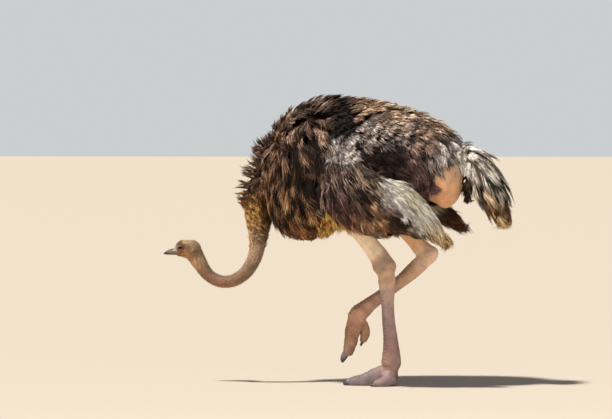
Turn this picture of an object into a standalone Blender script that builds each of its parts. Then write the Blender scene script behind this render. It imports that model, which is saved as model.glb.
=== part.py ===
"""A hen ostrich at life size, head lowered, in mid-step: the left foot stands and the right one is lifted.

Metres, +Z up, floor at z = 0. The bird faces -X and its left side is -Y. The trunk, wings and tail are
solids of the plumage's outer form; neck, head, legs and toes are the skin's own form. Every solid is a
loft: rings through a few stations, closed by domes, then parted from its neighbours by a thin gap.
"""

import math

import bmesh
import bpy
import numpy as np
from mathutils import Matrix, Vector

# Driving dimensions
GAP = 0.0003  # between solids that touch
EYE_RADIUS = 0.0165
LEG_SPREAD = 0.18  # half the distance between the knees
WING_OUT = 0.278  # from the middle plane to the middle of a folded wing

EYE = (-0.9566, 0.0195, 0.6401)  # the left eye's centre is its mirror image

SKIN_PINK = (0.66, 0.40, 0.27)
SKIN_GREY = (0.45, 0.33, 0.26)
PLUMAGE_DARK = (0.045, 0.028, 0.019)
PLUMAGE_GREY = (0.17, 0.12, 0.095)
PLUME_PALE = (0.42, 0.35, 0.27)
HORN = (0.20, 0.17, 0.15)


def clear_scene():
    for thing in list(bpy.data.objects):
        bpy.data.objects.remove(thing)


def finish(name, colour, roughness):
    material = bpy.data.materials.new(name)
    material.use_nodes = True
    shader = material.node_tree.nodes["Principled BSDF"]
    shader.inputs["Base Color"].default_value = (*colour, 1.0)
    shader.inputs["Roughness"].default_value = roughness
    shader.inputs["Metallic"].default_value = 0.0
    return material


def smooth_rows(rows, count):
    """Rows read at even steps from a smooth curve through the given rows, all columns together."""
    rows = np.array(rows, float)
    steps = np.linalg.norm(np.diff(rows, axis=0), axis=1)
    at = np.concatenate([[0.0], np.cumsum(steps)])
    slopes = np.gradient(rows, at, axis=0)
    wanted = np.linspace(0.0, at[-1], count)
    first = np.clip(np.searchsorted(at, wanted, side="right") - 1, 0, len(rows) - 2)
    span = (at[first + 1] - at[first])[:, None]
    s = (wanted - at[first])[:, None] / span
    return (
        (2 * s**3 - 3 * s**2 + 1) * rows[first]
        + (s**3 - 2 * s**2 + s) * span * slopes[first]
        + (3 * s**2 - 2 * s**3) * rows[first + 1]
        + (s**3 - s**2) * span * slopes[first + 1]
    )


def unit(vector):
    return vector / np.linalg.norm(vector)


def oval(sides, power, pear):
    """(up, side) pairs round a superellipse. A pear above 0 widens its upper half."""
    points = []
    for k in range(sides):
        turn = 2 * math.pi * (k + 0.5) / sides
        up = math.copysign(abs(math.cos(turn)) ** (2 / power), math.cos(turn))
        side = math.copysign(abs(math.sin(turn)) ** (2 / power), math.sin(turn))
        points.append((up, side * (1 + pear * up)))
    return points


def ring_set(rows, upright, domes, dome_rings=2):
    """(centre, direction, half height, half width) of each ring, with the rings of both end domes."""
    centres = rows[:, :3]
    runs = np.gradient(centres, axis=0)
    if upright:
        runs[:] = (math.copysign(1.0, centres[-1, 0] - centres[0, 0]), 0.0, 0.0)
    rings = [(c, unit(r), row[3], row[4]) for c, r, row in zip(centres, runs, rows)]
    turns = [math.pi / 2 * k / (dome_rings + 1) for k in range(1, dome_rings + 1)]
    for end, depth in enumerate(domes):
        if not depth:
            continue
        centre, run, high, wide = rings[-1 if end else 0]
        out = run if end else -run
        made = [
            (centre + out * depth * math.sin(t), run, high * math.cos(t), wide * math.cos(t))
            for t in turns
        ]
        rings = rings + made if end else made[::-1] + rings
    return rings


def close_end(bm, ring, centre, out, depth):
    """Closes an end with a fan of faces: a dome's top where it has depth, or else a flat."""
    middle = bm.verts.new(Vector(centre + out * depth))
    for k, vert in enumerate(ring):
        bm.faces.new((vert, ring[(k + 1) % len(ring)], middle))


def solid(name, bm, material):
    bmesh.ops.recalc_face_normals(bm, faces=bm.faces)
    bmesh.ops.triangulate(bm, faces=bm.faces)
    mesh = bpy.data.meshes.new(name)
    bm.to_mesh(mesh)
    bm.free()
    mesh.materials.append(material)
    mesh.shade_smooth()
    made = bpy.data.objects.new(name, mesh)
    bpy.context.scene.collection.objects.link(made)
    return made


def skin_rings(name, rings, section, material, tips, floor):
    """One closed solid over the rings. The tips are (start, end) points beyond the last rings."""
    bm = bmesh.new()
    loops = []
    for centre, run, high, wide in rings:
        up = unit(np.cross(run, (0.0, 1.0, 0.0)))
        side = np.cross(up, run)
        loops.append(
            [bm.verts.new(Vector(centre + up * u * high + side * s * wide)) for u, s in section]
        )
    for one, two in zip(loops, loops[1:]):
        for k in range(len(section)):
            after = (k + 1) % len(section)
            bm.faces.new((one[k], one[after], two[after], two[k]))
    close_end(bm, loops[0], rings[0][0], -rings[0][1], tips[0])
    close_end(bm, loops[-1], rings[-1][0], rings[-1][1], tips[1])
    if floor is not None:
        for vert in bm.verts:
            vert.co.z = max(vert.co.z, floor)
    return solid(name, bm, material)


def loft(name, rows, material, rings=12, sides=16, power=2.0, pear=0.0, domes=(0, 0), upright=False, floor=None):
    """A closed loft through rows of (x, y, z, half height, half width), with domes of the given depths."""
    dome_rings = 2
    made = ring_set(smooth_rows(rows, rings), upright, domes, dome_rings)
    left = 1 - math.sin(math.pi / 2 * dome_rings / (dome_rings + 1))
    tips = (domes[0] * left, domes[1] * left)
    return skin_rings(name, made, oval(sides, power, pear), material, tips, floor)


def swollen(piece, by):
    """A hidden copy of a piece, larger by this much all round, for parting its neighbours from it."""
    bm = bmesh.new()
    bm.from_mesh(piece.data)
    bm.normal_update()
    moves = [(v, v.normal * by * v.calc_shell_factor()) for v in bm.verts]
    for vert, move in moves:
        vert.co += move
    mesh = bpy.data.meshes.new("cutter_" + piece.name)
    bm.to_mesh(mesh)
    bm.free()
    cutter = bpy.data.objects.new("cutter_" + piece.name, mesh)
    bpy.context.scene.collection.objects.link(cutter)
    cutter.hide_render = True
    cutter.display_type = "WIRE"
    return cutter


def part_from(piece, *neighbours):
    """Cuts the neighbours' room, and the gap round it, out of a piece."""
    for neighbour in neighbours:
        cut = piece.modifiers.new("clear_of_" + neighbour.name, "BOOLEAN")
        cut.operation = "DIFFERENCE"
        cut.solver = "EXACT"
        cut.object = bpy.data.objects.get("cutter_" + neighbour.name) or swollen(neighbour, GAP)
    return piece


def mirrored(rows, side):
    return [(x, y * side, z, *rest) for x, y, z, *rest in rows]


def outline(rows):
    """Rows of (x, top, bottom, half width) as the rows of a loft in the middle plane."""
    return [(x, 0.0, (top + low) / 2, (top - low) / 2, wide) for x, top, low, wide in rows]


def make_trunk(material):
    rows = outline([
        # x, top, bottom, half width of the plumage
        (-0.522, 1.100, 0.860, 0.080),
        (-0.508, 1.180, 0.785, 0.130),
        (-0.470, 1.238, 0.728, 0.180),
        (-0.410, 1.285, 0.693, 0.222),
        (-0.330, 1.325, 0.697, 0.255),
        (-0.270, 1.338, 0.725, 0.272),
        (-0.200, 1.342, 0.775, 0.285),
        (-0.080, 1.331, 0.830, 0.296),
        (0.050, 1.305, 0.838, 0.294),
        (0.160, 1.270, 0.832, 0.272),
        (0.240, 1.232, 0.827, 0.236),
        (0.305, 1.190, 0.832, 0.180),
        (0.345, 1.150, 0.868, 0.125),
        (0.368, 1.118, 0.925, 0.070),
    ])
    return loft("trunk", rows, material, 20, 28, 2.15, 0.10, domes=(0.012, 0.007), upright=True)


def make_neck(materials):
    """The neck in four lengths: a feathered base that hangs from the breast, a fall, a bend and a rise."""
    rows = [
        (-0.420, 0.0, 1.110, 0.120, 0.130),
        (-0.500, 0.0, 1.062, 0.108, 0.118),
        (-0.560, 0.0, 0.985, 0.102, 0.106),
        (-0.590, 0.0, 0.900, 0.088, 0.088),
        (-0.590, 0.0, 0.820, 0.068, 0.067),
        (-0.590, 0.0, 0.760, 0.0535, 0.052),
        (-0.592, 0.0, 0.700, 0.0435, 0.042),
        (-0.599, 0.0, 0.640, 0.0360, 0.035),
        (-0.616, 0.0, 0.583, 0.0325, 0.032),
        (-0.655, 0.0, 0.524, 0.0300, 0.030),
        (-0.705, 0.0, 0.490, 0.0285, 0.029),
        (-0.762, 0.0, 0.4815, 0.0275, 0.028),
        (-0.812, 0.0, 0.499, 0.0275, 0.028),
        (-0.847, 0.0, 0.532, 0.0300, 0.029),
        (-0.872, 0.0, 0.568, 0.0350, 0.030),
        (-0.893, 0.0, 0.604, 0.0405, 0.031),
        (-0.905, 0.0, 0.630, 0.0380, 0.028),
    ]
    rings = ring_set(smooth_rows(rows, 37), False, (0, 0))
    section = oval(12, 2.0, 0.0)
    ends = {"neck_base": 11, "neck_fall": 20, "neck_bend": 29, "neck_rise": 36}
    start = 0
    pieces = []
    for name, end in ends.items():
        length = list(rings[start : end + 1])
        centre, run, high, wide = length[-1]
        length[-1] = (centre - run * GAP, run, high, wide)
        material = materials["dark"] if name == "neck_base" else materials["skin"]
        pieces.append(skin_rings(name, length, section, material, (0, 0), None))
        start = end
    return pieces


def make_head(material):
    rows = outline([
        # x, crown, throat, half width
        (-0.876, 0.656, 0.604, 0.022),
        (-0.886, 0.673, 0.593, 0.029),
        (-0.904, 0.680, 0.588, 0.0345),
        (-0.928, 0.6765, 0.590, 0.0365),
        (-0.950, 0.674, 0.597, 0.0360),
        (-0.968, 0.670, 0.602, 0.0325),
        (-0.980, 0.660, 0.604, 0.0275),
        (-0.988, 0.644, 0.606, 0.0230),
    ])
    return loft("head", rows, material, 11, 16, 2.1, 0.0, domes=(0.006, 0.003), upright=True)


def make_bill(material, head):
    """A flat, broad bill, parted along the gape into its upper and lower halves."""
    rows = outline([
        # x, culmen, lower edge, half width
        (-0.974, 0.6400, 0.6045, 0.0260),
        (-0.996, 0.6355, 0.6050, 0.0240),
        (-1.014, 0.6315, 0.6055, 0.0205),
        (-1.028, 0.6225, 0.6065, 0.0155),
        (-1.037, 0.6170, 0.6080, 0.0100),
    ])
    gape_height = 0.6140
    halves = []
    for name, kept in (("bill_upper", 1), ("bill_lower", -1)):
        half = loft(name, rows, material, 7, 12, 2.3, 0.0, domes=(0, 0.006), upright=True)
        bm = bmesh.new()
        bm.from_mesh(half.data)
        cut = bmesh.ops.bisect_plane(
            bm,
            geom=bm.verts[:] + bm.edges[:] + bm.faces[:],
            plane_co=(0, 0, gape_height + kept * GAP / 2),
            plane_no=(0, 0, 1),
            clear_inner=kept > 0,
            clear_outer=kept < 0,
        )
        edges = [e for e in cut["geom_cut"] if isinstance(e, bmesh.types.BMEdge)]
        bmesh.ops.holes_fill(bm, edges=edges, sides=0)
        bmesh.ops.recalc_face_normals(bm, faces=bm.faces)
        bmesh.ops.triangulate(bm, faces=bm.faces)
        bm.to_mesh(half.data)
        bm.free()
        halves.append(part_from(half, head))
    return halves


def make_eye(side, word, head, material):
    """An eyeball, set in a socket that is cut in the head."""
    bm = bmesh.new()
    bmesh.ops.create_uvsphere(bm, u_segments=12, v_segments=7, radius=EYE_RADIUS)
    turned = Vector((EYE[0], EYE[1] * side, EYE[2]))
    for vert in bm.verts:
        vert.co += turned
    eye = solid("eye_" + word, bm, material)
    part_from(head, eye)
    return eye


def make_tail(materials, trunk):
    """Drooping plumes, and the short tuft that hangs in front of them."""
    rows = [
        (0.300, 0.0, 1.080, 0.050, 0.090),
        (0.385, 0.0, 1.068, 0.060, 0.100),
        (0.436, 0.0, 1.022, 0.066, 0.116),
        (0.478, 0.0, 0.948, 0.074, 0.128),
        (0.509, 0.0, 0.880, 0.076, 0.126),
        (0.534, 0.0, 0.823, 0.067, 0.114),
        (0.555, 0.0, 0.778, 0.053, 0.096),
    ]
    tuft_rows = [
        (0.399, 0.0, 0.990, 0.012, 0.046),
        (0.392, 0.0, 0.945, 0.0165, 0.055),
        (0.390, 0.0, 0.905, 0.0150, 0.044),
        (0.392, 0.0, 0.880, 0.0085, 0.026),
    ]
    tail = loft("tail", rows, materials["grey"], 10, 16, 2.1, 0.0, domes=(0, 0.034))
    tuft = loft("tail_tuft", tuft_rows, materials["dark"], 4, 8, 2.0, 0.0, domes=(0.008, 0.016))
    part_from(tail, trunk)
    part_from(tuft, trunk, tail)


# The wing from its root to the last ring before the plumes part from it: centre, half width, half thickness
WING_ARM = [
    (-0.182, WING_OUT - 0.034, 1.110, 0.060, 0.036),
    (-0.150, WING_OUT - 0.004, 1.005, 0.104, 0.045),
    (-0.106, WING_OUT + 0.008, 0.905, 0.132, 0.048),
    (-0.020, WING_OUT + 0.006, 0.852, 0.132, 0.048),
]
WING_TRAIL_LEFT = [
    (0.063, WING_OUT, 0.840, 0.120, 0.045),
    (0.132, WING_OUT - 0.008, 0.815, 0.100, 0.040),
    (0.195, WING_OUT - 0.018, 0.780, 0.078, 0.035),
    (0.247, WING_OUT - 0.028, 0.743, 0.057, 0.029),
    (0.288, WING_OUT - 0.038, 0.704, 0.037, 0.022),
    (0.308, WING_OUT - 0.044, 0.678, 0.022, 0.015),
]
WING_TRAIL_RIGHT = [
    (0.063, WING_OUT, 0.852, 0.112, 0.045),
    (0.132, WING_OUT - 0.008, 0.838, 0.090, 0.040),
    (0.200, WING_OUT - 0.018, 0.818, 0.066, 0.035),
    (0.260, WING_OUT - 0.028, 0.790, 0.046, 0.029),
    (0.305, WING_OUT - 0.038, 0.760, 0.030, 0.022),
    (0.330, WING_OUT - 0.044, 0.738, 0.018, 0.015),
]


def make_wing(side, word, trail, materials, trunk, leg):
    """A folded wing that droops along the flank, with its long plumes trailing behind the shank."""
    rings = ring_set(smooth_rows(mirrored(WING_ARM + trail, side), 20), False, (0.040, 0.024))
    section = oval(12, 2.2, 0.0)
    plumes_from = 12
    arm = list(rings[: plumes_from + 1])
    centre, run, high, wide = arm[-1]
    arm[-1] = (centre - run * GAP, run, high, wide)
    left = 1 - math.sin(math.pi / 3)
    wing = skin_rings("wing_" + word, arm, section, materials["grey"], (0.040 * left, 0), None)
    tips = (0, 0.024 * left)
    plumes = skin_rings("wing_plumes_" + word, rings[plumes_from:], section, materials["pale"], tips, None)
    for piece in (wing, plumes):
        part_from(piece, trunk, leg)


def make_leg(word, joints, shank_rows, tarsus_rows, material, trunk):
    """Shank and tarsus of one leg. The thigh lies inside the trunk, under the plumage."""
    knee, hock, foot = joints
    shank_rows = [(*knee, 0.094, 0.074), *shank_rows, (*hock, 0.050, 0.039)]
    tarsus_rows = [(*hock, 0.041, 0.031), *tarsus_rows, (*foot, 0.043, 0.038)]
    shank = loft("shank_" + word, shank_rows, material, 11, 12, domes=(0.05, 0.042))
    tarsus = loft("tarsus_" + word, tarsus_rows, material, 11, 12, domes=(0.020, 0.030))
    part_from(shank, trunk)
    part_from(tarsus, shank)
    return shank, tarsus


def make_foot(word, tarsus, toe_rows, claw_rows, outer_rows, outer_claw_rows, heel, materials, floor):
    """The long inner toe with its heavy nail, and the short outer toe with a small one."""
    skin, horn = materials["skin"], materials["horn"]
    toe = loft("toe_inner_" + word, toe_rows, skin, 10, 10, 2.3, 0.0, domes=(heel, 0.012), floor=floor)
    claw = loft("claw_inner_" + word, claw_rows, horn, 4, 8, 2.0, 0.0, domes=(0, 0.004), floor=floor)
    outer = loft("toe_outer_" + word, outer_rows, skin, 6, 10, 2.2, 0.0, domes=(0.014, 0.009), floor=floor)
    small = loft("claw_outer_" + word, outer_claw_rows, horn, 3, 6, 2.0, 0.0, domes=(0, 0.003), floor=floor)
    part_from(toe, tarsus)
    part_from(claw, toe)
    part_from(outer, tarsus, toe)
    part_from(small, outer)


def make_left_leg(materials, trunk):
    shank_rows = [
        (-0.172, -0.176, 0.890, 0.100, 0.080),
        (-0.128, -0.158, 0.800, 0.072, 0.061),
        (-0.085, -0.136, 0.722, 0.0500, 0.045),
        (-0.050, -0.116, 0.662, 0.0410, 0.036),
        (-0.010, -0.096, 0.604, 0.0450, 0.036),
    ]
    tarsus_rows = [
        (0.0194, -0.0687, 0.505, 0.0420, 0.033),
        (0.0221, -0.0497, 0.440, 0.0335, 0.029),
        (0.0224, -0.0401, 0.390, 0.0295, 0.027),
        (0.0256, -0.0222, 0.295, 0.0295, 0.027),
        (0.0308, -0.0103, 0.235, 0.0320, 0.029),
        (0.0336, 0.0014, 0.180, 0.0370, 0.033),
        (0.0336, 0.0086, 0.140, 0.0420, 0.037),
    ]
    toe_rows = [
        (0.028, 0.026, 0.062, 0.047, 0.038),
        (0.000, 0.026, 0.046, 0.052, 0.036),
        (-0.031, 0.025, 0.037, 0.048, 0.0345),
        (-0.058, 0.024, 0.030, 0.0425, 0.034),
        (-0.082, 0.023, 0.024, 0.0365, 0.034),
        (-0.107, 0.022, 0.019, 0.0315, 0.033),
        (-0.138, 0.021, 0.015, 0.0275, 0.031),
        (-0.156, 0.020, 0.013, 0.0240, 0.026),
    ]
    claw_rows = [
        (-0.148, 0.020, 0.017, 0.0165, 0.0185),
        (-0.169, 0.020, 0.015, 0.0165, 0.0175),
        (-0.183, 0.019, 0.0105, 0.0125, 0.0125),
        (-0.191, 0.019, 0.0065, 0.0065, 0.0065),
    ]
    outer_rows = [
        (0.034, -0.004, 0.040, 0.038, 0.025),
        (0.014, -0.022, 0.023, 0.031, 0.025),
        (-0.014, -0.042, 0.0135, 0.0230, 0.023),
        (-0.034, -0.054, 0.009, 0.0165, 0.0165),
    ]
    outer_claw_rows = [
        (-0.036, -0.055, 0.0095, 0.0085, 0.0080),
        (-0.052, -0.064, 0.0055, 0.0045, 0.0045),
    ]
    joints = ((-0.205, -LEG_SPREAD, 0.975), (0.018, -0.080, 0.548), (0.030, 0.020, 0.096))
    leg = make_leg("left", joints, shank_rows, tarsus_rows, materials["skin"], trunk)
    make_foot("left", leg[1], toe_rows, claw_rows, outer_rows, outer_claw_rows, 0.030, materials, 0.0)
    return leg


def make_right_leg(materials, trunk):
    shank_rows = [
        (-0.030, 0.194, 0.890, 0.096, 0.078),
        (0.036, 0.197, 0.796, 0.068, 0.058),
        (0.090, 0.198, 0.718, 0.046, 0.043),
        (0.134, 0.196, 0.660, 0.040, 0.035),
        (0.160, 0.193, 0.628, 0.044, 0.035),
    ]
    tarsus_rows = [
        (0.118, 0.166, 0.532, 0.0360, 0.030),
        (0.052, 0.138, 0.474, 0.0295, 0.027),
        (-0.030, 0.103, 0.411, 0.0290, 0.027),
        (-0.084, 0.078, 0.370, 0.0340, 0.031),
    ]
    toe_rows = [
        (-0.132, 0.055, 0.322, 0.0460, 0.037),
        (-0.141, 0.055, 0.288, 0.0400, 0.035),
        (-0.156, 0.055, 0.244, 0.0335, 0.034),
        (-0.162, 0.055, 0.205, 0.0300, 0.033),
        (-0.171, 0.055, 0.168, 0.0260, 0.030),
        (-0.176, 0.055, 0.148, 0.0220, 0.026),
    ]
    claw_rows = [
        (-0.182, 0.055, 0.154, 0.0165, 0.0185),
        (-0.193, 0.055, 0.135, 0.0160, 0.0175),
        (-0.201, 0.055, 0.117, 0.0120, 0.0125),
        (-0.203, 0.055, 0.107, 0.0065, 0.0065),
    ]
    outer_rows = [
        (-0.122, 0.070, 0.302, 0.0240, 0.025),
        (-0.105, 0.083, 0.272, 0.0230, 0.024),
        (-0.100, 0.092, 0.234, 0.0215, 0.022),
        (-0.109, 0.097, 0.206, 0.0160, 0.0165),
    ]
    outer_claw_rows = [
        (-0.111, 0.097, 0.204, 0.0085, 0.0080),
        (-0.122, 0.099, 0.183, 0.0045, 0.0045),
    ]
    joints = ((-0.100, LEG_SPREAD, 0.985), (0.186, 0.188, 0.602), (-0.128, 0.057, 0.330))
    leg = make_leg("right", joints, shank_rows, tarsus_rows, materials["skin"], trunk)
    make_foot("right", leg[1], toe_rows, claw_rows, outer_rows, outer_claw_rows, 0.016, materials, None)
    return leg


def stand_on_origin():
    """Moves every solid so that the floor's origin is under the middle of the whole bird's box."""
    shown = [o for o in bpy.data.objects if not o.hide_render]
    points = np.array([v.co for o in shown for v in o.data.vertices])
    middle = (points.min(axis=0) + points.max(axis=0)) / 2
    shift = Matrix.Translation((-middle[0], -middle[1], -points[:, 2].min()))
    for thing in bpy.data.objects:
        thing.data.transform(shift)


def main():
    clear_scene()
    materials = {
        "dark": finish("plumage_dark", PLUMAGE_DARK, 0.85),
        "grey": finish("plumage_grey", PLUMAGE_GREY, 0.85),
        "pale": finish("plume_pale", PLUME_PALE, 0.80),
        "skin": finish("bare_skin", SKIN_PINK, 0.60),
        "head": finish("head_skin", SKIN_GREY, 0.65),
        "horn": finish("horn", HORN, 0.40),
        "eye": finish("eye", (0.02, 0.012, 0.008), 0.05),
    }
    trunk = make_trunk(materials["dark"])
    neck = make_neck(materials)
    part_from(neck[0], trunk)
    part_from(neck[1], trunk)
    head = make_head(materials["head"])
    part_from(neck[-1], head)
    make_bill(materials["horn"], head)
    for side, word in ((-1, "left"), (1, "right")):
        make_eye(side, word, head, materials["eye"])
    make_tail(materials, trunk)
    left_leg = make_left_leg(materials, trunk)
    right_leg = make_right_leg(materials, trunk)
    make_wing(-1, "left", WING_TRAIL_LEFT, materials, trunk, left_leg[0])
    make_wing(1, "right", WING_TRAIL_RIGHT, materials, trunk, right_leg[0])
    stand_on_origin()


main()
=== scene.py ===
"""The looks of a hen ostrich in mid-step: skin, plumage of small locks, horn, eyes, floor, light, camera."""

import math

import bmesh
import bpy
import numpy as np
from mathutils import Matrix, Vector
from mathutils.bvhtree import BVHTree
from mathutils.kdtree import KDTree


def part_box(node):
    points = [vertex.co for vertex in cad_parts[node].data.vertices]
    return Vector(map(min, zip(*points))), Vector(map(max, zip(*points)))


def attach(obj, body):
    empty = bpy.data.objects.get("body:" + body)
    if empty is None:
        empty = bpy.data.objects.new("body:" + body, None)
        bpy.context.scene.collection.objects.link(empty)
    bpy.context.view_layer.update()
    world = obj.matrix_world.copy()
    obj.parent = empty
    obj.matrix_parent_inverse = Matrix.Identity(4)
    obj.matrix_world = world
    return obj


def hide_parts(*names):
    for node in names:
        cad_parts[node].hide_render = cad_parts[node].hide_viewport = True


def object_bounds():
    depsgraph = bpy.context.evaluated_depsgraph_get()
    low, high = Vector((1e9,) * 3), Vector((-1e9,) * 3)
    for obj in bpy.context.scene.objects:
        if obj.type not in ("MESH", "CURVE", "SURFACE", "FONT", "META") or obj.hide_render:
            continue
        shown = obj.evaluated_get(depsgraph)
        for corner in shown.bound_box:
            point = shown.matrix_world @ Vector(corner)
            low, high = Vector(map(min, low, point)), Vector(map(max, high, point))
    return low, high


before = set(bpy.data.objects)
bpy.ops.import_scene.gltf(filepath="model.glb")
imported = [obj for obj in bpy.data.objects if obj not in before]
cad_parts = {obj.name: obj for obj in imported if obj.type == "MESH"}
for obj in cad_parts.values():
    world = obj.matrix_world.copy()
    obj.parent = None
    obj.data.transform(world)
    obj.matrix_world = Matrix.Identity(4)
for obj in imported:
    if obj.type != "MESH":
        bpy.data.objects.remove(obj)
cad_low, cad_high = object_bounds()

# The bird's own rows are measured from under its middle toe joint; CARRY takes them to the frame's middle.
EYE = (-0.9566, 0.0195, 0.6401)
EYE_RADIUS = 0.0165
eye_low, eye_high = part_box("eye_left")
AHEAD = (eye_low[0] + eye_high[0]) / 2 - EYE[0]
CARRY = np.array((AHEAD, 0.0, 0.0))
WING_OUT = 0.278  # how far out from the middle the folded wings lie
GAPE = 0.6140  # height of the line where the bill's halves meet
SLIT = 0.0003  # how far each half ends from that line
SIDES = (("left", -1), ("right", 1))

# ---------------------------------------------------------------- rows of the body, as in the solids


def metres(*rows):
    """Rows of measures in millimetres, in metres."""
    return [tuple(v / 1000 for v in row) for row in rows]


def winged(*rows):
    """Rows of a wing in millimetres. The second measure counts from the line of the folded wings."""
    return [(x, WING_OUT + y, *rest) for x, y, *rest in metres(*rows)]


TRUNK_ROWS = metres(
    # x, top, bottom, half width of the plumage
    (-522, 1100, 860, 80), (-508, 1180, 785, 130), (-470, 1238, 728, 180), (-410, 1285, 693, 222),
    (-330, 1325, 697, 255), (-270, 1338, 725, 272), (-200, 1342, 775, 285), (-80, 1331, 830, 296),
    (50, 1305, 838, 294), (160, 1270, 832, 272), (240, 1232, 827, 236), (305, 1190, 832, 180),
    (345, 1150, 868, 125), (368, 1118, 925, 70),
)
NECK_ROWS = metres(
    # x, z, half height, half width, depth of the coat
    (-420, 1110, 120, 130, 34), (-500, 1062, 108, 118, 32), (-560, 985, 102, 106, 30),
    (-590, 900, 88, 88, 26), (-590, 820, 68, 67, 14), (-590, 760, 53.5, 52, 7), (-592, 700, 43.5, 42, 2),
    (-599, 640, 36, 35, 1), (-616, 583, 32.5, 32, 0.5), (-655, 524, 30, 30, 0.5),
    (-705, 490, 28.5, 29, 0.5), (-762, 481.5, 27.5, 28, 0.5), (-812, 499, 27.5, 28, 0.5),
    (-847, 532, 30, 29, 0.5), (-872, 568, 35, 30, 0.5), (-893, 604, 40.5, 31, 1), (-905, 630, 38, 28, 1),
)
# The mass of the neck's plumage, drawn in behind the loose feathers of its outline, and the skin's depth
NECK_MASS = metres(
    (-420, 1105, 112, 122, 30), (-495, 1052, 88, 104, 26), (-532, 975, 70, 86, 24), (-568, 900, 66, 70, 22),
    (-588, 835, 62, 62, 18), (-590, 790, 57, 56, 10), (-590, 755, 52, 50, 5),
) + NECK_ROWS[6:]
HEAD_ROWS = metres(
    # x, crown, throat, half width
    (-872, 652, 606, 18), (-886, 668, 593, 29), (-904, 674.5, 588, 34.5), (-928, 674.5, 590, 36),
    (-950, 674, 597, 35), (-968, 669, 602, 31.5), (-980, 660, 604, 27), (-990, 644, 605.5, 23),
)
BILL_ROWS = metres(
    (-974, 640, 604.5, 25.8), (-996, 635.5, 605, 24), (-1014, 631.5, 605.5, 20.5),
    (-1028, 622.5, 606.5, 15.5), (-1037, 617, 608, 10),
)
# Rows of a loft: x, y, z, half height, half width
TAIL_ROWS = metres(
    (300, 0, 1080, 50, 90), (385, 0, 1068, 60, 100), (436, 0, 1022, 66, 116), (478, 0, 948, 74, 128),
    (509, 0, 880, 76, 126), (534, 0, 823, 67, 114), (555, 0, 778, 53, 96),
)
TUFT_ROWS = metres(
    (399, 0, 990, 12, 46), (392, 0, 945, 16.5, 55), (390, 0, 905, 15, 44), (392, 0, 880, 8.5, 26),
)
WING_ARM = winged(
    (-182, -34, 1110, 60, 36), (-150, -4, 1005, 104, 45), (-106, 8, 905, 132, 48), (-20, 6, 852, 132, 48),
)
WING_TRAIL = {
    "left": winged(
        (63, 0, 840, 120, 45), (132, -8, 815, 100, 40), (195, -18, 780, 78, 35), (247, -28, 743, 57, 29),
        (288, -38, 704, 37, 22), (308, -44, 678, 22, 15),
    ),
    "right": winged(
        (63, 0, 852, 112, 45), (132, -8, 838, 90, 40), (200, -18, 818, 66, 35), (260, -28, 790, 46, 29),
        (305, -38, 760, 30, 22), (330, -44, 738, 18, 15),
    ),
}
LEGS = {
    "left": {
        "shank": metres(
            (-205, -180, 975, 94, 74), (-172, -176, 890, 100, 80), (-128, -158, 800, 72, 61),
            (-85, -136, 722, 50, 45), (-50, -116, 662, 41, 36), (-10, -96, 604, 45, 36),
            (18, -80, 548, 50, 39),
        ),
        "tarsus": metres(
            (18, -80, 548, 41, 31), (19.4, -68.7, 505, 42, 33), (22.1, -49.7, 440, 33.5, 29),
            (22.4, -40.1, 390, 29.5, 27), (25.6, -22.2, 295, 29.5, 27), (30.8, -10.3, 235, 32, 29),
            (33.6, 1.4, 180, 37, 33), (33.6, 8.6, 140, 42, 37), (30, 20, 96, 43, 38),
        ),
        "toe_inner": metres(
            (28, 26, 62, 47, 38), (0, 26, 46, 52, 36), (-31, 25, 37, 48, 34.5), (-58, 24, 30, 42.5, 34),
            (-82, 23, 24, 36.5, 34), (-107, 22, 19, 31.5, 33), (-138, 21, 15, 27.5, 31),
            (-156, 20, 13, 24, 26),
        ),
        "toe_outer": metres(
            (34, -4, 40, 38, 25), (14, -22, 23, 31, 25), (-14, -42, 13.5, 23, 23),
            (-34, -54, 9, 16.5, 16.5),
        ),
        "claw_inner": metres(
            (-142, 20, 17, 16.5, 18.5), (-155, 20, 17, 17.5, 18.5), (-169, 20, 15, 16.5, 17.5),
            (-183, 19, 10.5, 12.5, 12.5), (-191, 19, 6.5, 6.5, 6.5),
        ),
        "claw_outer": metres(
            (-34, -54, 10, 9, 8.5), (-44, -59.6, 7.8, 6.8, 6.6), (-52, -64, 5.5, 4.5, 4.5),
        ),
        "heel": 0.03,
        "floor": 0.0,
    },
    "right": {
        "shank": metres(
            (-100, 180, 985, 94, 74), (-30, 194, 890, 96, 78), (36, 197, 796, 68, 58),
            (90, 198, 718, 46, 43), (134, 196, 660, 40, 35), (160, 193, 628, 44, 35),
            (186, 188, 602, 50, 39),
        ),
        "tarsus": metres(
            (186, 188, 602, 41, 31), (118, 166, 532, 36, 30), (52, 138, 474, 29.5, 27),
            (-30, 103, 411, 29, 27), (-84, 78, 370, 34, 31), (-128, 57, 330, 43, 38),
        ),
        "toe_inner": metres(
            (-132, 55, 322, 46, 37), (-141, 55, 288, 40, 35), (-156, 55, 244, 33.5, 34),
            (-162, 55, 205, 30, 33), (-171, 55, 168, 26, 30), (-176, 55, 148, 22, 26),
        ),
        "toe_outer": metres(
            (-122, 70, 302, 24, 25), (-105, 83, 272, 23, 24), (-100, 92, 234, 21.5, 22),
            (-109, 97, 206, 16, 16.5),
        ),
        "claw_inner": metres(
            (-182, 55, 154, 16.5, 18.5), (-193, 55, 135, 16, 17.5), (-201, 55, 117, 12, 12.5),
            (-203, 55, 107, 6.5, 6.5),
        ),
        "claw_outer": metres(
            (-108, 96.5, 206, 9, 8.8), (-116, 98, 194, 7, 6.8), (-122, 99, 183, 4.5, 4.5),
        ),
        "heel": 0.016,
        "floor": None,
    },
}

# ---------------------------------------------------------------- shapes from rows


def tone(red, green, blue):
    """A colour given on a 0 to 255 scale, as the shader's linear colour."""
    c = np.array((red, green, blue), float) / 255
    return tuple(np.where(c <= 0.04045, c / 12.92, ((c + 0.055) / 1.055) ** 2.4))


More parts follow.
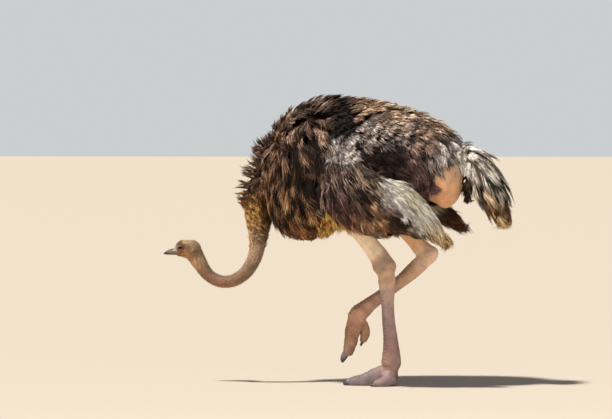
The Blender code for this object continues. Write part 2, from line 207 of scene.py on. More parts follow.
def ease(low, high, value):
    """0 below low, 1 above high, and a smooth rise between."""
    t = np.clip((value - low) / (high - low), 0, 1)
    return t * t * (3 - 2 * t)


def hump(value, middle, width):
    """1 at the middle, falling away smoothly on both sides."""
    return np.exp(-(((value - middle) / width) ** 2))


def spot(p, x, z, wide, high):
    """1 at a place in side view, falling away smoothly around it."""
    return np.exp(-(((p[:, 0] - x) / wide) ** 2) - ((p[:, 2] - z) / high) ** 2)


def blend(one, two, amount):
    return one * (1 - amount) + np.array(two) * amount


def unit(v):
    return v / np.maximum(np.linalg.norm(v, axis=-1, keepdims=True), 1e-9)


def dot(one, two):
    return np.einsum("ij,ij->i", one, two)


def run_lengths(points):
    """Each step's length along a path, and the distance from its start at each point."""
    steps = np.linalg.norm(np.diff(points, axis=0), axis=1)
    return steps, np.concatenate([[0.0], np.cumsum(steps)])


def smooth_rows(rows, count):
    """Rows read at even steps from a smooth curve through the given rows, all columns together."""
    rows = np.array(rows, float)
    at = run_lengths(rows)[1]
    slopes = np.gradient(rows, at, axis=0)
    wanted = np.linspace(0.0, at[-1], count)
    first = np.clip(np.searchsorted(at, wanted, side="right") - 1, 0, len(rows) - 2)
    span = (at[first + 1] - at[first])[:, None]
    s = (wanted - at[first])[:, None] / span
    return (
        (2 * s**3 - 3 * s**2 + 1) * rows[first]
        + (s**3 - 2 * s**2 + s) * span * slopes[first]
        + (3 * s**2 - 2 * s**3) * rows[first + 1]
        + (s**3 - s**2) * span * slopes[first + 1]
    )


def outline(rows):
    """Rows of (x, top, bottom, half width) as the rows of a loft in the middle plane."""
    return [(x, 0.0, (top + low) / 2, (top - low) / 2, wide) for x, top, low, wide in rows]


def own(points):
    """Points in the rows' own frame."""
    return points - CARRY


def mirrored(rows, side):
    return [(x, y * side, *rest) for x, y, *rest in rows]


def tube(rows, rings, sides, power=2.0, pear=0.0, domes=(0.0, 0.0), upright=False, floor=None):
    """Points and triangles of a closed loft, faces outward, with the ring and side of each triangle.

    A power over 2 makes it squarer, pear makes it wider above, and domes are how far its two ends bulge.
    Upright rings don't turn with the path, and nothing goes under the floor."""
    rows = smooth_rows(rows, rings)
    centres, sizes = rows[:, :3] + CARRY, rows[:, 3:5]
    runs = unit(np.gradient(centres, axis=0))
    if upright:
        runs[:] = (math.copysign(1.0, centres[-1, 0] - centres[0, 0]), 0.0, 0.0)
    turns = math.pi / 2 * np.arange(1, 6) / 6
    for end, depth in enumerate(domes):
        if depth:
            k, sign = (-1, 1) if end else (0, -1)
            caps = (
                centres[k] + runs[k] * sign * depth * np.sin(turns)[:, None],
                sizes[k] * np.cos(turns)[:, None],
                np.repeat(runs[k][None], len(turns), 0),
            )
            pairs = zip((centres, sizes, runs), caps)
            centres, sizes, runs = (np.concatenate([a, b] if end else [b[::-1], a]) for a, b in pairs)
    turn = 2 * math.pi * (np.arange(sides) + 0.5) / sides
    up_part = np.sign(np.cos(turn)) * np.abs(np.cos(turn)) ** (2 / power)
    side_part = np.sign(np.sin(turn)) * np.abs(np.sin(turn)) ** (2 / power) * (1 + pear * up_part)
    ups = unit(np.cross(runs, (0.0, 1.0, 0.0)))
    wides = np.cross(ups, runs)
    points = (
        centres[:, None]
        + ups[:, None] * (up_part[None, :, None] * sizes[:, None, :1])
        + wides[:, None] * (side_part[None, :, None] * sizes[:, None, 1:])
    )
    count, short = len(centres), 1 - math.sin(turns[-1])
    ends = [points[0].mean(0) - runs[0] * domes[0] * short, points[-1].mean(0) + runs[-1] * domes[1] * short]
    points = np.concatenate([points.reshape(-1, 3), ends])
    k = np.arange(sides)
    after = (k + 1) % sides
    faces, cells = [], []
    for ring in range(count - 1):
        a, b = ring * sides, (ring + 1) * sides
        faces += [np.stack([a + k, a + after, b + after], 1), np.stack([a + k, b + after, b + k], 1)]
        cells += [np.stack([np.full(sides, ring), k], 1)] * 2
    last = (count - 1) * sides
    faces.append(np.stack([after, k, np.full(sides, len(points) - 2)], 1))
    faces.append(np.stack([last + k, last + after, np.full(sides, len(points) - 1)], 1))
    cells += [np.stack([np.full(sides, ring), k], 1) for ring in (0, count - 1)]
    faces, cells = np.concatenate(faces), np.concatenate(cells)
    if floor is not None:
        points[:, 2] = np.maximum(points[:, 2], floor)
    a, b, c = (points[faces[:, k]] for k in range(3))
    if dot(a, np.cross(b, c)).sum() < 0:
        faces = faces[:, ::-1]
    return points, np.ascontiguousarray(faces), cells / (count, sides)


def corner_normals(points, faces):
    """A smooth outward direction at each point."""
    a, b, c = (points[faces[:, k]] for k in range(3))
    flat = np.cross(b - a, c - a)
    out = np.zeros_like(points)
    for k in range(3):
        for axis in range(3):
            out[:, axis] += np.bincount(faces[:, k], flat[:, axis], len(points))
    return unit(out)


def flat_floats(values):
    return np.asarray(values, np.float32).ravel()


def make_mesh(name, points, faces, material=None):
    mesh = bpy.data.meshes.new(name)
    mesh.vertices.add(len(points))
    mesh.vertices.foreach_set("co", flat_floats(points))
    mesh.loops.add(len(faces) * 3)
    mesh.loops.foreach_set("vertex_index", np.asarray(faces, np.int32).ravel())
    mesh.polygons.add(len(faces))
    mesh.polygons.foreach_set("loop_start", np.arange(len(faces), dtype=np.int32) * 3)
    mesh.polygons.foreach_set("use_smooth", np.ones(len(faces), bool))
    mesh.update(calc_edges=True)
    if material:
        mesh.materials.append(material)
    made = bpy.data.objects.new(name, mesh)
    bpy.context.scene.collection.objects.link(made)
    return made


def mesh_arrays(mesh):
    """A mesh's points, and its faces as triangles."""
    points = np.empty(len(mesh.vertices) * 3, np.float32)
    mesh.vertices.foreach_get("co", points)
    mesh.calc_loop_triangles()
    faces = np.empty(len(mesh.loop_triangles) * 3, np.int32)
    mesh.loop_triangles.foreach_get("vertices", faces)
    return points.reshape(-1, 3).astype(float), faces.reshape(-1, 3)


def edit_mesh(mesh, change):
    """Opens a mesh for editing, runs the change on it and writes it back."""
    bm = bmesh.new()
    bm.from_mesh(mesh)
    result = change(bm)
    bm.to_mesh(mesh)
    bm.free()
    return result


def set_tint(mesh, colours):
    layer = mesh.color_attributes.new("tint", "FLOAT_COLOR", "POINT")
    layer.data.foreach_set("color", flat_floats(np.pad(colours, ((0, 0), (0, 1)), constant_values=1)))
    mesh.color_attributes.active_color_name = "tint"


def waves(points, size, seed):
    """Smooth noise from -1 to 1 over space, about this many metres from crest to crest."""
    chance = np.random.default_rng(seed)
    total = np.zeros(len(points))
    for _ in range(6):
        heading = unit(chance.normal(size=3)) * 2 * math.pi / (size * chance.uniform(0.7, 1.4))
        total += np.sin(points @ heading + chance.uniform(0, 6.28))
    return total / 3.2


# ---------------------------------------------------------------- node groups and materials


def new_group(name, **inputs):
    """A node group that takes a tint and some values, and puts out a colour, a roughness and a height."""
    group = bpy.data.node_groups.new(name, "ShaderNodeTree")
    for label, value in inputs.items():
        kind = "NodeSocketFloat" if isinstance(value, float) else "NodeSocketColor"
        socket = group.interface.new_socket(name=label.replace("_", " "), in_out="INPUT", socket_type=kind)
        socket.default_value = value
    for label, kind in (("Colour", "Color"), ("Roughness", "Float"), ("Height", "Float")):
        group.interface.new_socket(name=label, in_out="OUTPUT", socket_type="NodeSocket" + kind)
    return group, group.nodes.new("NodeGroupInput").outputs, group.nodes.new("NodeGroupOutput")


def node(tree, kind, **settings):
    made = tree.nodes.new("ShaderNode" + kind)
    for key, value in settings.items():
        setattr(made, key, value)
    return made


def feed(tree, made, **values):
    """Sets or links a node's inputs: i and a number, or a name with underscores for spaces."""
    for key, value in values.items():
        numbered = key[0] == "i" and key[1:].isdigit()
        socket = made.inputs[int(key[1:]) if numbered else key.replace("_", " ")]
        if isinstance(value, bpy.types.NodeSocket):
            tree.links.new(value, socket)
        else:
            socket.default_value = value
    return made


def reckon(tree, operation, one, two):
    return feed(tree, node(tree, "Math", operation=operation), i0=one, i1=two).outputs[0]


def darken(tree, amount, one, two):
    """One colour multiplied by another, as far as the amount says."""
    made = node(tree, "Mix", data_type="RGBA", blend_type="MULTIPLY")
    return feed(tree, made, i0=amount, i6=one, i7=two).outputs[2]


def grade(tree, value, low, high, first, last):
    """The value's range from low to high, stretched to run from first to last."""
    return feed(tree, node(tree, "MapRange"), Value=value, i1=low, i2=high, i3=first, i4=last).outputs[0]


def clouds(tree, where, scale, detail):
    return feed(tree, node(tree, "TexNoise"), Vector=where, Scale=scale, Detail=detail).outputs["Fac"]


def object_place(tree):
    return node(tree, "TexCoord").outputs["Object"]


def barb_group():
    """Barbs along a lock: streaks of light and dark, fine ridges, and a duller or silkier surface."""
    group, given, out = new_group("barb_streaks", Tint=(0.1, 0.1, 0.1, 1), Streak=0.5, Barbs=5.0)
    lie = node(group, "Attribute", attribute_name="lie").outputs["Vector"]
    across, along, start = feed(group, node(group, "SeparateXYZ"), Vector=lie).outputs
    slant = reckon(group, "MULTIPLY", across, given["Barbs"])
    drawn_out = reckon(group, "MULTIPLY", along, 2.2)
    joined = feed(group, node(group, "CombineXYZ"), X=slant, Y=drawn_out, Z=start)
    fine = clouds(group, joined.outputs[0], 1.0, 2.0)
    lit = darken(group, given["Streak"], given["Tint"], grade(group, fine, 0.3, 0.7, 0.55, 1.45))
    feed(group, out, Colour=lit, Roughness=grade(group, fine, 0.2, 0.8, 0.78, 0.5), Height=fine)
    return group


def pore_group():
    """Bare skin: small close scales, finer goose-flesh, blotches of colour and a worn, uneven polish."""
    group, given, out = new_group(
        "pores_and_scales", Tint=(0.5, 0.3, 0.2, 1), Scale_size=220.0, Scales=0.5, Blotch=0.3
    )
    where = object_place(group)
    cells = node(group, "TexVoronoi", feature="DISTANCE_TO_EDGE")
    feed(group, cells, Vector=where, Scale=given["Scale size"])
    plates = grade(group, cells.outputs["Distance"], 0.0, 0.12, 0.0, 1.0)
    broad, fine = clouds(group, where, 26.0, 4.0), clouds(group, where, 420.0, 2.0)
    height = reckon(group, "MULTIPLY", plates, given["Scales"])
    height = reckon(group, "ADD", height, reckon(group, "MULTIPLY", fine, 0.35))
    spotted = darken(group, given["Blotch"], given["Tint"], grade(group, broad, 0.3, 0.7, 0.72, 1.25))
    seamed = darken(group, given["Scales"], spotted, grade(group, plates, 0.0, 1.0, 0.62, 1.0))
    feed(group, out, Colour=seamed, Roughness=grade(group, fine, 0.3, 0.7, 0.48, 0.7), Height=height)
    return group


def horn_group():
    """Horn: growth lines across, grey-blue to brown clouds, and scuffs."""
    group, given, out = new_group("horn_grain", Tint=(0.2, 0.2, 0.2, 1), Grain=0.5)
    where = object_place(group)
    stretch = feed(group, node(group, "Mapping"), Vector=where, Scale=(900.0, 160.0, 260.0))
    lines, soft = clouds(group, stretch.outputs[0], 1.0, 3.0), clouds(group, where, 95.0, 3.0)
    both = reckon(group, "ADD", *(reckon(group, "MULTIPLY", part, 0.5) for part in (lines, soft)))
    grained = darken(group, given["Grain"], given["Tint"], grade(group, both, 0.35, 0.65, 0.7, 1.3))
    feed(group, out, Colour=grained, Roughness=grade(group, soft, 0.3, 0.7, 0.28, 0.5), Height=lines)
    return group


def new_material(name):
    """A material, its node tree and its shader."""
    material = bpy.data.materials.new(name)
    material.use_nodes = True
    return material, material.node_tree, material.node_tree.nodes["Principled BSDF"]


def tinted_material(name, group, bump, values, **shader_values):
    """A material that passes the piece's tint through a group. The bump is a strength and a depth."""
    material, tree, shader = new_material(name)
    tint = node(tree, "Attribute", attribute_name="tint").outputs["Color"]
    grain = feed(tree, node(tree, "Group", node_tree=group), Tint=tint, **values)
    colour, rough, height = grain.outputs
    raised = feed(tree, node(tree, "Bump"), Strength=bump[0], Distance=bump[1], Height=height)
    feed(tree, shader, Base_Color=colour, Roughness=rough, Normal=raised.outputs[0], **shader_values)
    return material


def eye_material():
    """Wet and near black, with faint rays in the iris."""
    material, tree, shader = new_material("wet_eye")
    tint = node(tree, "Attribute", attribute_name="tint").outputs["Color"]
    rays = grade(tree, clouds(tree, object_place(tree), 700.0, 2.0), 0.3, 0.7, 0.6, 1.5)
    feed(
        tree, shader, Base_Color=darken(tree, 1.0, tint, rays), Roughness=0.06, Coat_Weight=0.15,
        Specular_IOR_Level=0.12, Coat_Roughness=0.02,
    )
    return material


barbs, pores, horn_lines = barb_group(), pore_group(), horn_group()
MATERIALS = {
    "plumage": tinted_material(
        "plumage", barbs, (0.35, 0.0006), {"Streak": 0.75, "Barbs": 4.0}, Specular_IOR_Level=0.22
    ),
    "down": tinted_material(
        "down", barbs, (0.2, 0.0003), {"Streak": 0.3, "Barbs": 2.0}, Specular_IOR_Level=0.3
    ),
    "skin": tinted_material(
        "bare_skin", pores, (0.5, 0.0009), {"Scale_size": 420.0, "Scales": 0.20, "Blotch": 0.6},
        Subsurface_Weight=0.12, Subsurface_Scale=0.006,
    ),
    "bill": tinted_material(
        "bill_horn", horn_lines, (0.25, 0.0004), {"Grain": 0.7}, Coat_Weight=0.25, Coat_Roughness=0.3
    ),
    "claw": tinted_material(
        "claw_horn", horn_lines, (0.4, 0.0006), {"Grain": 0.9}, Coat_Weight=0.15, Coat_Roughness=0.4
    ),
    "eye": eye_material(),
}

# ---------------------------------------------------------------- the skin

skin_tubes = []
COAT_DEPTH, BARE_LESS = 0.036, 0.034  # how far the skin lies under the plumage, and how much less where bare
MERGE, SLIVER = 0.0002, 0.0001  # points nearer and edges shorter than this go when tubes are joined
CREASE = -0.38  # an inward fold sharper than this angle, in radians, is rounded over
EYE_RINGS = (0.0185, 0.0120)  # the skin's faces are split once more within each distance of an eye


def depth_of_coat(p):
    """How far the skin of the trunk lies under the plumage's outer form; almost nothing at the bare rump."""
    bare = ease(0.235, 0.275, p[:, 0] - AHEAD) * (1 - ease(1.02, 1.07, p[:, 2]))
    return COAT_DEPTH - BARE_LESS * bare


def skin_part(name, *args, coat=None, **keys):
    points, faces, _ = tube(*args, **keys)
    if coat is not None:
        points = points - corner_normals(points, faces) * coat(points)[:, None]
    skin_tubes.append(make_mesh("flesh_" + name, points, faces))


def thin(rows, face, thick):
    return [(x, y, z, high * face, wide * thick) for x, y, z, high, wide in rows]


def under_coat(rows):
    """The neck's skin, drawn in from its plumage by the coat's depth."""
    return [(x, 0.0, z, high - depth, wide - depth) for x, z, high, wide, depth in rows]


TRUNK_CUT = dict(power=2.15, pear=0.10, domes=(0.012, 0.007), upright=True)
HEAD_CUT = dict(power=2.1, domes=(0.006, 0.003), upright=True)

skin_part("trunk", outline(TRUNK_ROWS), 70, 64, coat=depth_of_coat, **TRUNK_CUT)
skin_part("neck", under_coat(NECK_MASS), 300, 44)
skin_part("head", outline(HEAD_ROWS), 92, 96, **HEAD_CUT)
for word, side in SIDES:
    leg = LEGS[word]
    skin_part("shank_" + word, leg["shank"], 90, 40, domes=(0.05, 0.042))
    skin_part("tarsus_" + word, leg["tarsus"], 160, 44, domes=(0.020, 0.030))
    heel, floor = leg["heel"], leg["floor"]
    skin_part("toe_inner_" + word, leg["toe_inner"], 120, 44, power=2.3, domes=(heel, 0.012), floor=floor)
    skin_part("toe_outer_" + word, leg["toe_outer"], 60, 36, power=2.2, domes=(0.014, 0.009), floor=floor)
    arm = mirrored(thin(WING_ARM + WING_TRAIL[word][:2], 0.72, 0.5), side)
    skin_part("arm_" + word, arm, 24, 20, domes=(0.03, 0.03))
skin_part("tail_root", thin(TAIL_ROWS[:4], 0.62, 0.62), 20, 24, domes=(0.0, 0.03))


def join_all(parts, name):
    """One closed mesh from overlapping ones, by Boolean unions."""
    whole = parts[0]
    whole.name = name
    for other in parts[1:]:
        join = whole.modifiers.new("join_" + other.name, "BOOLEAN")
        join.operation = "UNION"
        join.solver = "MANIFOLD"
        join.object = other
    bpy.ops.object.select_all(action="DESELECT")
    bpy.context.view_layer.objects.active = whole
    whole.select_set(True)
    for modifier in list(whole.modifiers):
        bpy.ops.object.modifier_apply(modifier=modifier.name)
    for other in parts[1:]:
        bpy.data.objects.remove(other)
    return whole


def clean(bm):
    """Merges slivers of the join and leaves triangles only."""
    bmesh.ops.remove_doubles(bm, verts=bm.verts, dist=MERGE)
    bmesh.ops.dissolve_degenerate(bm, edges=bm.edges, dist=SLIVER)
    bmesh.ops.triangulate(bm, faces=bm.faces)


def creases(bm):
    """The two ends of every edge, and the points on an inward crease."""
    bmesh.ops.recalc_face_normals(bm, faces=bm.faces)
    bm.normal_update()
    seams = set()
    for edge in bm.edges:
        if len(edge.link_faces) == 2 and edge.calc_face_angle_signed(0) < CREASE:
            seams.update(v.index for v in edge.verts)
    ends = np.array([(e.verts[0].index, e.verts[1].index) for e in bm.edges])
    return ends, np.array(sorted(seams))


def clean_and_refine(bm):
    """Cleans the joined skin, then splits the faces round each eye for the lids."""
    clean(bm)
    for reach in EYE_RINGS:
        for _, side in SIDES:
            eye = Vector((EYE[0] + AHEAD, 0.034 * side, EYE[2]))
            edges = [e for e in bm.edges if ((e.verts[0].co + e.verts[1].co) / 2 - eye).length < reach]
            bmesh.ops.subdivide_edges(bm, edges=edges, cuts=1, use_grid_fill=False)
        bmesh.ops.triangulate(bm, faces=[f for f in bm.faces if len(f.verts) > 3])
    return creases(bm)


def skin_reach(p):
    """How far from a crease the skin is rounded: widely at the body, closely at the toes."""
    x, _, z = p.T
    reach = np.where(z > 0.75, 0.055, np.where(z > 0.45, 0.026, 0.018))
    reach = np.where(x < -0.8, 0.034, reach)
    return np.where((z < 0.30) & (x > -0.3), 0.012, reach)


def round_over(points, faces, ends, seams, reach_at, rounds, thinning):
    """Fills the creases with a smooth curve. No point sinks by more than thinning: limbs keep their girth."""
    tree = KDTree(len(seams))
    for k, at in enumerate(points[seams]):
        tree.insert(at, k)
    tree.balance()
    near = np.array([tree.find(p)[2] for p in points])
    weight = 1 - ease(0.25, 1.0, near / reach_at(own(points)))
    moving = np.flatnonzero(weight > 0)
    count = np.maximum(np.bincount(ends.ravel(), minlength=len(points)), 1)

    def settle(points, rounds):
        for _ in range(rounds):
            total = [
                np.bincount(ends[:, 0], points[ends[:, 1], k], len(points))
                + np.bincount(ends[:, 1], points[ends[:, 0], k], len(points))
                for k in range(3)
            ]
            average = np.stack(total, 1) / count[:, None]
            points[moving] += 0.6 * weight[moving, None] * (average[moving] - points[moving])
        return points

    before, normals = points.copy(), corner_normals(points, faces)
    points = settle(points, rounds)
    sunk = -dot(points - before, normals)
    points = points + normals * np.maximum(sunk - thinning, 0)[:, None]
    return settle(points, 4)


def along_path(rows, points):
    """How far each point is along a path of rows, off it and round to its upper side; the path's length."""
    path = smooth_rows(rows, 160)[:, :3] + CARRY
    steps, at = run_lengths(path)
    best, s = np.full(len(points), 1e9), np.zeros(len(points))
    away, run = np.zeros((2, len(points), 3))
    for k, step in enumerate(steps):
        heading = (path[k + 1] - path[k]) / step
        t = np.clip((points - path[k]) @ heading, 0, step)
        apart = points - (path[k] + t[:, None] * heading)
        far = np.linalg.norm(apart, axis=1)
        closer = far < best
        best[closer], s[closer] = far[closer], (at[k] + t)[closer]
        away[closer], run[closer] = apart[closer], heading
    up = unit(np.cross(run, (0.0, 1.0, 0.0)))
    return s, best, dot(unit(away), up), at[-1]


TARSUS_SCUTE = 0.0165  # from one scute to the next
TOE_SCUTES = (("toe_inner", 0.0105), ("toe_outer", 0.0095))
NECK_RING, HOCK_FOLD, TOE_PAD = 0.0085, 0.0115, 0.042  # from one ring, wrinkle and pad to the next


def plates(s, period, groove=0.24):
    """A row of low, flat scutes along a limb: 1 on each plate, dipping to 0 in the grooves between."""
    phase = np.abs((s / period) % 1.0 - 0.5) * 2
    return 1 - ease(1 - groove, 1.0, phase)


def raise_scutes(points, normals):
    """Scutes down the front of each tarsus and over the toes. Returns their heights and their grooves."""
    height, edge = np.zeros((2, len(points)))
    for leg in LEGS.values():
        s, far, up, whole = along_path(leg["tarsus"], points)
        front = ease(0.35, 0.65, -up) * (far < 0.055) * ease(0.16, 0.26, s / whole)
        front = front * (1 - ease(0.97, 1.0, s / whole))
        plate = plates(s, TARSUS_SCUTE)
        height += front * 0.0024 * (plate - 0.35)
        edge = np.maximum(edge, front * (1 - plate) + front * 0.25)
        standing = leg["floor"] is not None
        for toe, period in TOE_SCUTES:
            s, far, up, whole = along_path(leg[toe], points)
            top = ease(0.35, 0.7, np.abs(up) if standing else -up)
            top = top * (far < 0.047) * ease(0.28, 0.4, s / whole)
            if standing:
                top = top * (normals[:, 2] > 0.2)
            plate = plates(s, period, 0.3)
            height = np.where(top > 0, top * 0.0018 * (plate - 0.3), height)
            edge = np.maximum(edge, top * (1 - plate) + top * 0.3)
    return height, np.clip(edge, 0, 1)


# Knobs of bone under the skin at the hocks and knuckles: x, z, reach, rise
KNOBS = metres(
    (-34, 548, 16, 5), (55, 580, 14, 3.5), (-20, 500, 14, -3), (12, 545, 10, 2.5), (222, 622, 18, 4),
    (140, 600, 12, -2.5), (-158, 345, 12, 4), (-150, 312, 10, -4), (-170, 275, 14, 3), (-92, 330, 12, 3),
    (68, 110, 14, 4), (-10, 92, 14, 3),
)


def fold_skin(points):
    """Fine folds: rings round the neck, wrinkles over the hocks, lines down the throat."""
    p = own(points)
    px, _, pz = p.T
    s, far, up, _ = along_path([(x, 0.0, z) for x, z, *_ in NECK_ROWS], points)
    neck = (far < 0.06) & (pz < 0.80) & (px < -0.5)
    wander = waves(points, 0.05, 3) * 0.9
    ring = np.sin(2 * math.pi * (s + 0.004 * wander) / NECK_RING)
    rings = 0.00045 * ring * (0.55 + 0.45 * waves(points, 0.08, 4))
    turn = np.arctan2(points[:, 1], up * far)
    lines = 0.0005 * np.sin(turn * 13 + 2.0 * wander) * ease(-0.86, -0.80, -np.abs(px + 0.83))
    height = np.where(neck, rings + lines, 0.0)
    for leg in LEGS.values():
        away = np.linalg.norm(p - np.array(leg["shank"][-1][:3]), axis=1)
        close = 1 - ease(0.02, 0.075, away)
        s, far, up, _ = along_path(leg["shank"][-3:] + leg["tarsus"][1:4], points)
        wrinkle = np.sin(2 * math.pi * (s + 0.003 * waves(points, 0.03, 5)) / HOCK_FOLD)
        height += close * 0.0011 * wrinkle * (0.45 - 0.55 * up)
        height += close * 0.0026 * waves(points, 0.035, 6)
        # pads under and beside the toes, with a crease between each and the next
        s, far, up, whole = along_path(leg["toe_inner"], points)
        pads = (far < 0.05) * ease(0.10, 0.2, s / whole) * (1 - ease(0.85, 1.0, s / whole)) * (pz < 0.34)
        height += pads * 0.0022 * (np.abs(np.cos(math.pi * s / TOE_PAD)) ** 0.6 - 0.6)
        # the crease in front of the ankle
        s, far, up, whole = along_path(leg["tarsus"], points)
        near, before = far < 0.06, s - whole
        ankle = near * hump(before, -0.004, 0.004) - 0.6 * hump(before, -0.016, 0.008) * near
        height -= 0.0022 * ankle * ease(-0.6, 0.4, -up)
    for x, z, reach, rise in KNOBS:
        away = (px - x) ** 2 + (pz - z) ** 2
        height += rise * np.exp(-away / (2 * reach**2)) * (pz < 0.75)
    return height + np.where((pz < 0.7) & ~neck, 0.0005 * waves(points, 0.022, 7), 0)


LID_WIDE, LID_HIGH, LID_SLANT = 0.0088, 0.0062, 0.14  # half of each eye's opening, and its slant to the bill
LID_OVER, LID_INSIDE = 0.0021, -0.0014  # how far the lids stand over the eyeball, and the skin behind them
EAR = (-0.8930, 0.6240, 0.0034, 0.0062)  # x, z, half width, half height
NOSTRIL = (-1.0035, 0.6285, 0.0058, 0.0017)


def shape_lids(points, head):
    """Lids over the eyes. Returns the points, and how far each is lid, its dark rim and in the opening."""
    p = own(points)
    lid, rim, inside = np.zeros((3, len(p)))
    for _, side in SIDES:
        eye = np.array((EYE[0], EYE[1] * side, EYE[2]))
        v = p - eye
        r = np.linalg.norm(v, axis=1)
        d = v / np.maximum(r, 1e-6)[:, None]
        forth, out, up = -d[:, 0], d[:, 1] * side, d[:, 2]
        cos, sin = math.cos(LID_SLANT), math.sin(LID_SLANT)
        forth, up = forth * cos - up * sin, forth * sin + up * cos
        across = EYE_RADIUS * np.arctan2(forth, np.maximum(out, 1e-4))
        high = EYE_RADIUS * np.arcsin(np.clip(up, -1, 1))
        # 0 on the edge of the opening, -1 at its middle
        measure = np.sqrt((np.abs(across) / LID_WIDE) ** 1.9 + (np.abs(high) / LID_HIGH) ** 2) - 1
        near = (out > 0.12) & (r < 0.036) & head
        target = np.full(len(p), EYE_RADIUS + LID_OVER)
        target += 0.0007 * hump(measure, 0.16, 0.12)
        fold = np.where(high > 0, 0.00085, 0.0006)
        target -= fold * hump(measure, 0.42, 0.075) + 0.7 * fold * hump(measure, 0.78, 0.08)
        target += np.where(high > 0, 0.0012, 0.0) * hump(measure, 1.15, 0.3)
        behind = EYE_RADIUS + LID_INSIDE + ease(-0.08, 0.06, measure) * 0.0042
        target = np.where(measure < 0.06, behind, target)
        share = 1 - ease(0.95, 1.75, measure)
        moved = CARRY + p * (1 - share[:, None]) + (eye + d * target[:, None]) * share[:, None]
        points = np.where((near & (share > 0))[:, None], moved, points)
        lid = np.maximum(lid, np.where(near, share, 0))
        rim = np.maximum(rim, np.where(near, hump(measure, 0.05, 0.10), 0))
        inside = np.maximum(inside, np.where(near, 1 - ease(-0.05, 0.02, measure), 0))
    return points, lid, rim, inside


def opening(x, z, place):
    """Distance from an oval opening's middle in side view: 1 on its edge."""
    return np.sqrt(((x - place[0]) / place[2]) ** 2 + ((z - place[1]) / place[3]) ** 2)


def shape_head(points, normals):
    """Lids, brow, ear, gape and chin. Returns the points and masks for colour."""
    x, _, z = own(points).T
    head = (x < -0.86) & (z > 0.56)
    points, lid, rim, inside = shape_lids(points, head)
    p = own(points)
    x, y, z = p.T
    height, wide = np.zeros(len(p)), np.abs(y)
    # the ear: a small upright pit behind the jaw, with a raised edge
    ear = opening(x, z, EAR)
    beside = (wide > 0.012) & head
    height -= np.where(beside, 0.0042 * (1 - ease(0.5, 1.0, ear)), 0)
    height += np.where(beside, 0.0011 * hump(ear, 1.35, 0.3), 0)
    # the gape runs back from the bill's corner under the eye
    line = 0.6135 - 0.05 * (x + 0.975)
    on_jaw = ease(-0.944, -0.954, x) * (wide > 0.008) * head
    height -= on_jaw * 0.0016 * hump(z, line, 0.0011)
    height += on_jaw * 0.0007 * hump(np.abs(z - line), 0.0030, 0.0016)
    # the crown is flat in front, with a faint furrow, and the cheek swells behind the gape
    height -= np.where(head, 0.0016 * spot(p, -0.972, 0.664, 0.009, 0.006), 0)
    height += np.where(head, 0.0014 * spot(p, -0.925, 0.612, 0.013, 0.010), 0)
    height += np.where(head & (lid < 0.05), 0.00035 * waves(points, 0.009, 8), 0)
    return points + normals * height[:, None], lid, rim, inside, ear


skin = join_all(skin_tubes, "skin")
ends, seams = edit_mesh(skin.data, clean_and_refine)
points, faces = mesh_arrays(skin.data)
points = round_over(points, faces, ends, seams, skin_reach, rounds=30, thinning=0.0012)
normals = corner_normals(points, faces)
scute_height, scute_edge = raise_scutes(points, normals)
points = points + normals * (scute_height + fold_skin(points))[:, None]
points, lid, lid_rim, in_eye, ear = shape_head(points, corner_normals(points, faces))
points[:, 2] = np.maximum(points[:, 2], 0.0)
skin.data.vertices.foreach_set("co", flat_floats(points))
skin.data.polygons.foreach_set("use_smooth", np.ones(len(skin.data.polygons), bool))
skin.data.update()
skin.data.materials.clear()
skin.data.materials.append(MATERIALS["skin"])

# Tones of the bare skin about named places: x, z, reach, and the tone's red, green and blue
SKIN_PLACES = (
    (-930, 678, 16, 226, 183, 129), (-968, 662, 10, 112, 92, 78), (-900, 655, 18, 191, 152, 109),
    # the middle row here, just behind the ear, is darker, partly as painted shade from the ear
    (-899, 632, 5, 240, 204, 135), (-882, 626, 6, 122, 102, 79), (-922, 640, 8, 140, 98, 68),
    (-936, 638, 9, 108, 77, 56), (-957, 652, 6, 58, 44, 38), (-945, 622, 7, 214, 120, 77),
    (-975, 628, 10, 169, 146, 126), (-930, 600, 14, 223, 156, 107), (-885, 585, 18, 173, 132, 92),
    (-862, 630, 20, 140, 123, 107), (-830, 495, 20, 158, 100, 64), (-800, 525, 20, 114, 90, 73),
    (-730, 460, 20, 168, 100, 60), (-730, 515, 20, 119, 94, 75), (-640, 500, 22, 137, 97, 70),
    (-640, 570, 22, 133, 105, 83), (-600, 650, 30, 137, 106, 82), (-590, 720, 30, 135, 99, 66),
    # from the middle row here to the end of the line after next, the skin under the plumage is dark: painted
    # shade in the gaps between feathers
    (-590, 800, 30, 160, 109, 62), (-570, 920, 50, 96, 66, 44), (-420, 1050, 90, 46, 34, 27),
    (-300, 1200, 90, 34, 26, 22), (-350, 850, 90, 46, 33, 25), (-50, 1280, 90, 64, 52, 45),
    (-50, 1000, 90, 40, 31, 28), (150, 1150, 70, 62, 50, 45), (140, 980, 60, 46, 37, 35),
    (300, 1140, 40, 112, 90, 76), (310, 970, 50, 246, 196, 154), (340, 1030, 30, 242, 190, 150),
    # the last row here and the first two of the next line, on the upper near shank, are lightened partly as
    # painted light against the shade the wing casts there
    (290, 880, 40, 232, 168, 122), (400, 1050, 40, 196, 176, 160), (-160, 820, 50, 228, 180, 140),
    (-100, 740, 50, 250, 221, 192), (-50, 660, 30, 250, 220, 189), (10, 560, 25, 178, 147, 124),
    (12, 555, 10, 122, 110, 106), (-22, 528, 9, 206, 146, 98), (20, 500, 30, 211, 173, 146),
    (20, 400, 40, 189, 161, 152), (30, 300, 40, 169, 143, 141), (30, 200, 40, 170, 133, 127),
    # the last two rows, on the standing foot, are darker and greyer partly as painted shade from the body
    (30, 110, 30, 176, 143, 131), (0, 40, 30, 137, 114, 113), (-100, 20, 30, 116, 101, 106),
    (60, 760, 30, 211, 176, 152), (120, 680, 30, 246, 188, 138), (180, 610, 30, 247, 209, 179),
    (80, 500, 30, 213, 172, 137), (-60, 400, 30, 209, 166, 138), (-130, 320, 30, 206, 156, 128),
    (-150, 240, 30, 176, 128, 101), (-170, 160, 20, 160, 124, 108), (-105, 240, 20, 196, 156, 124),
)


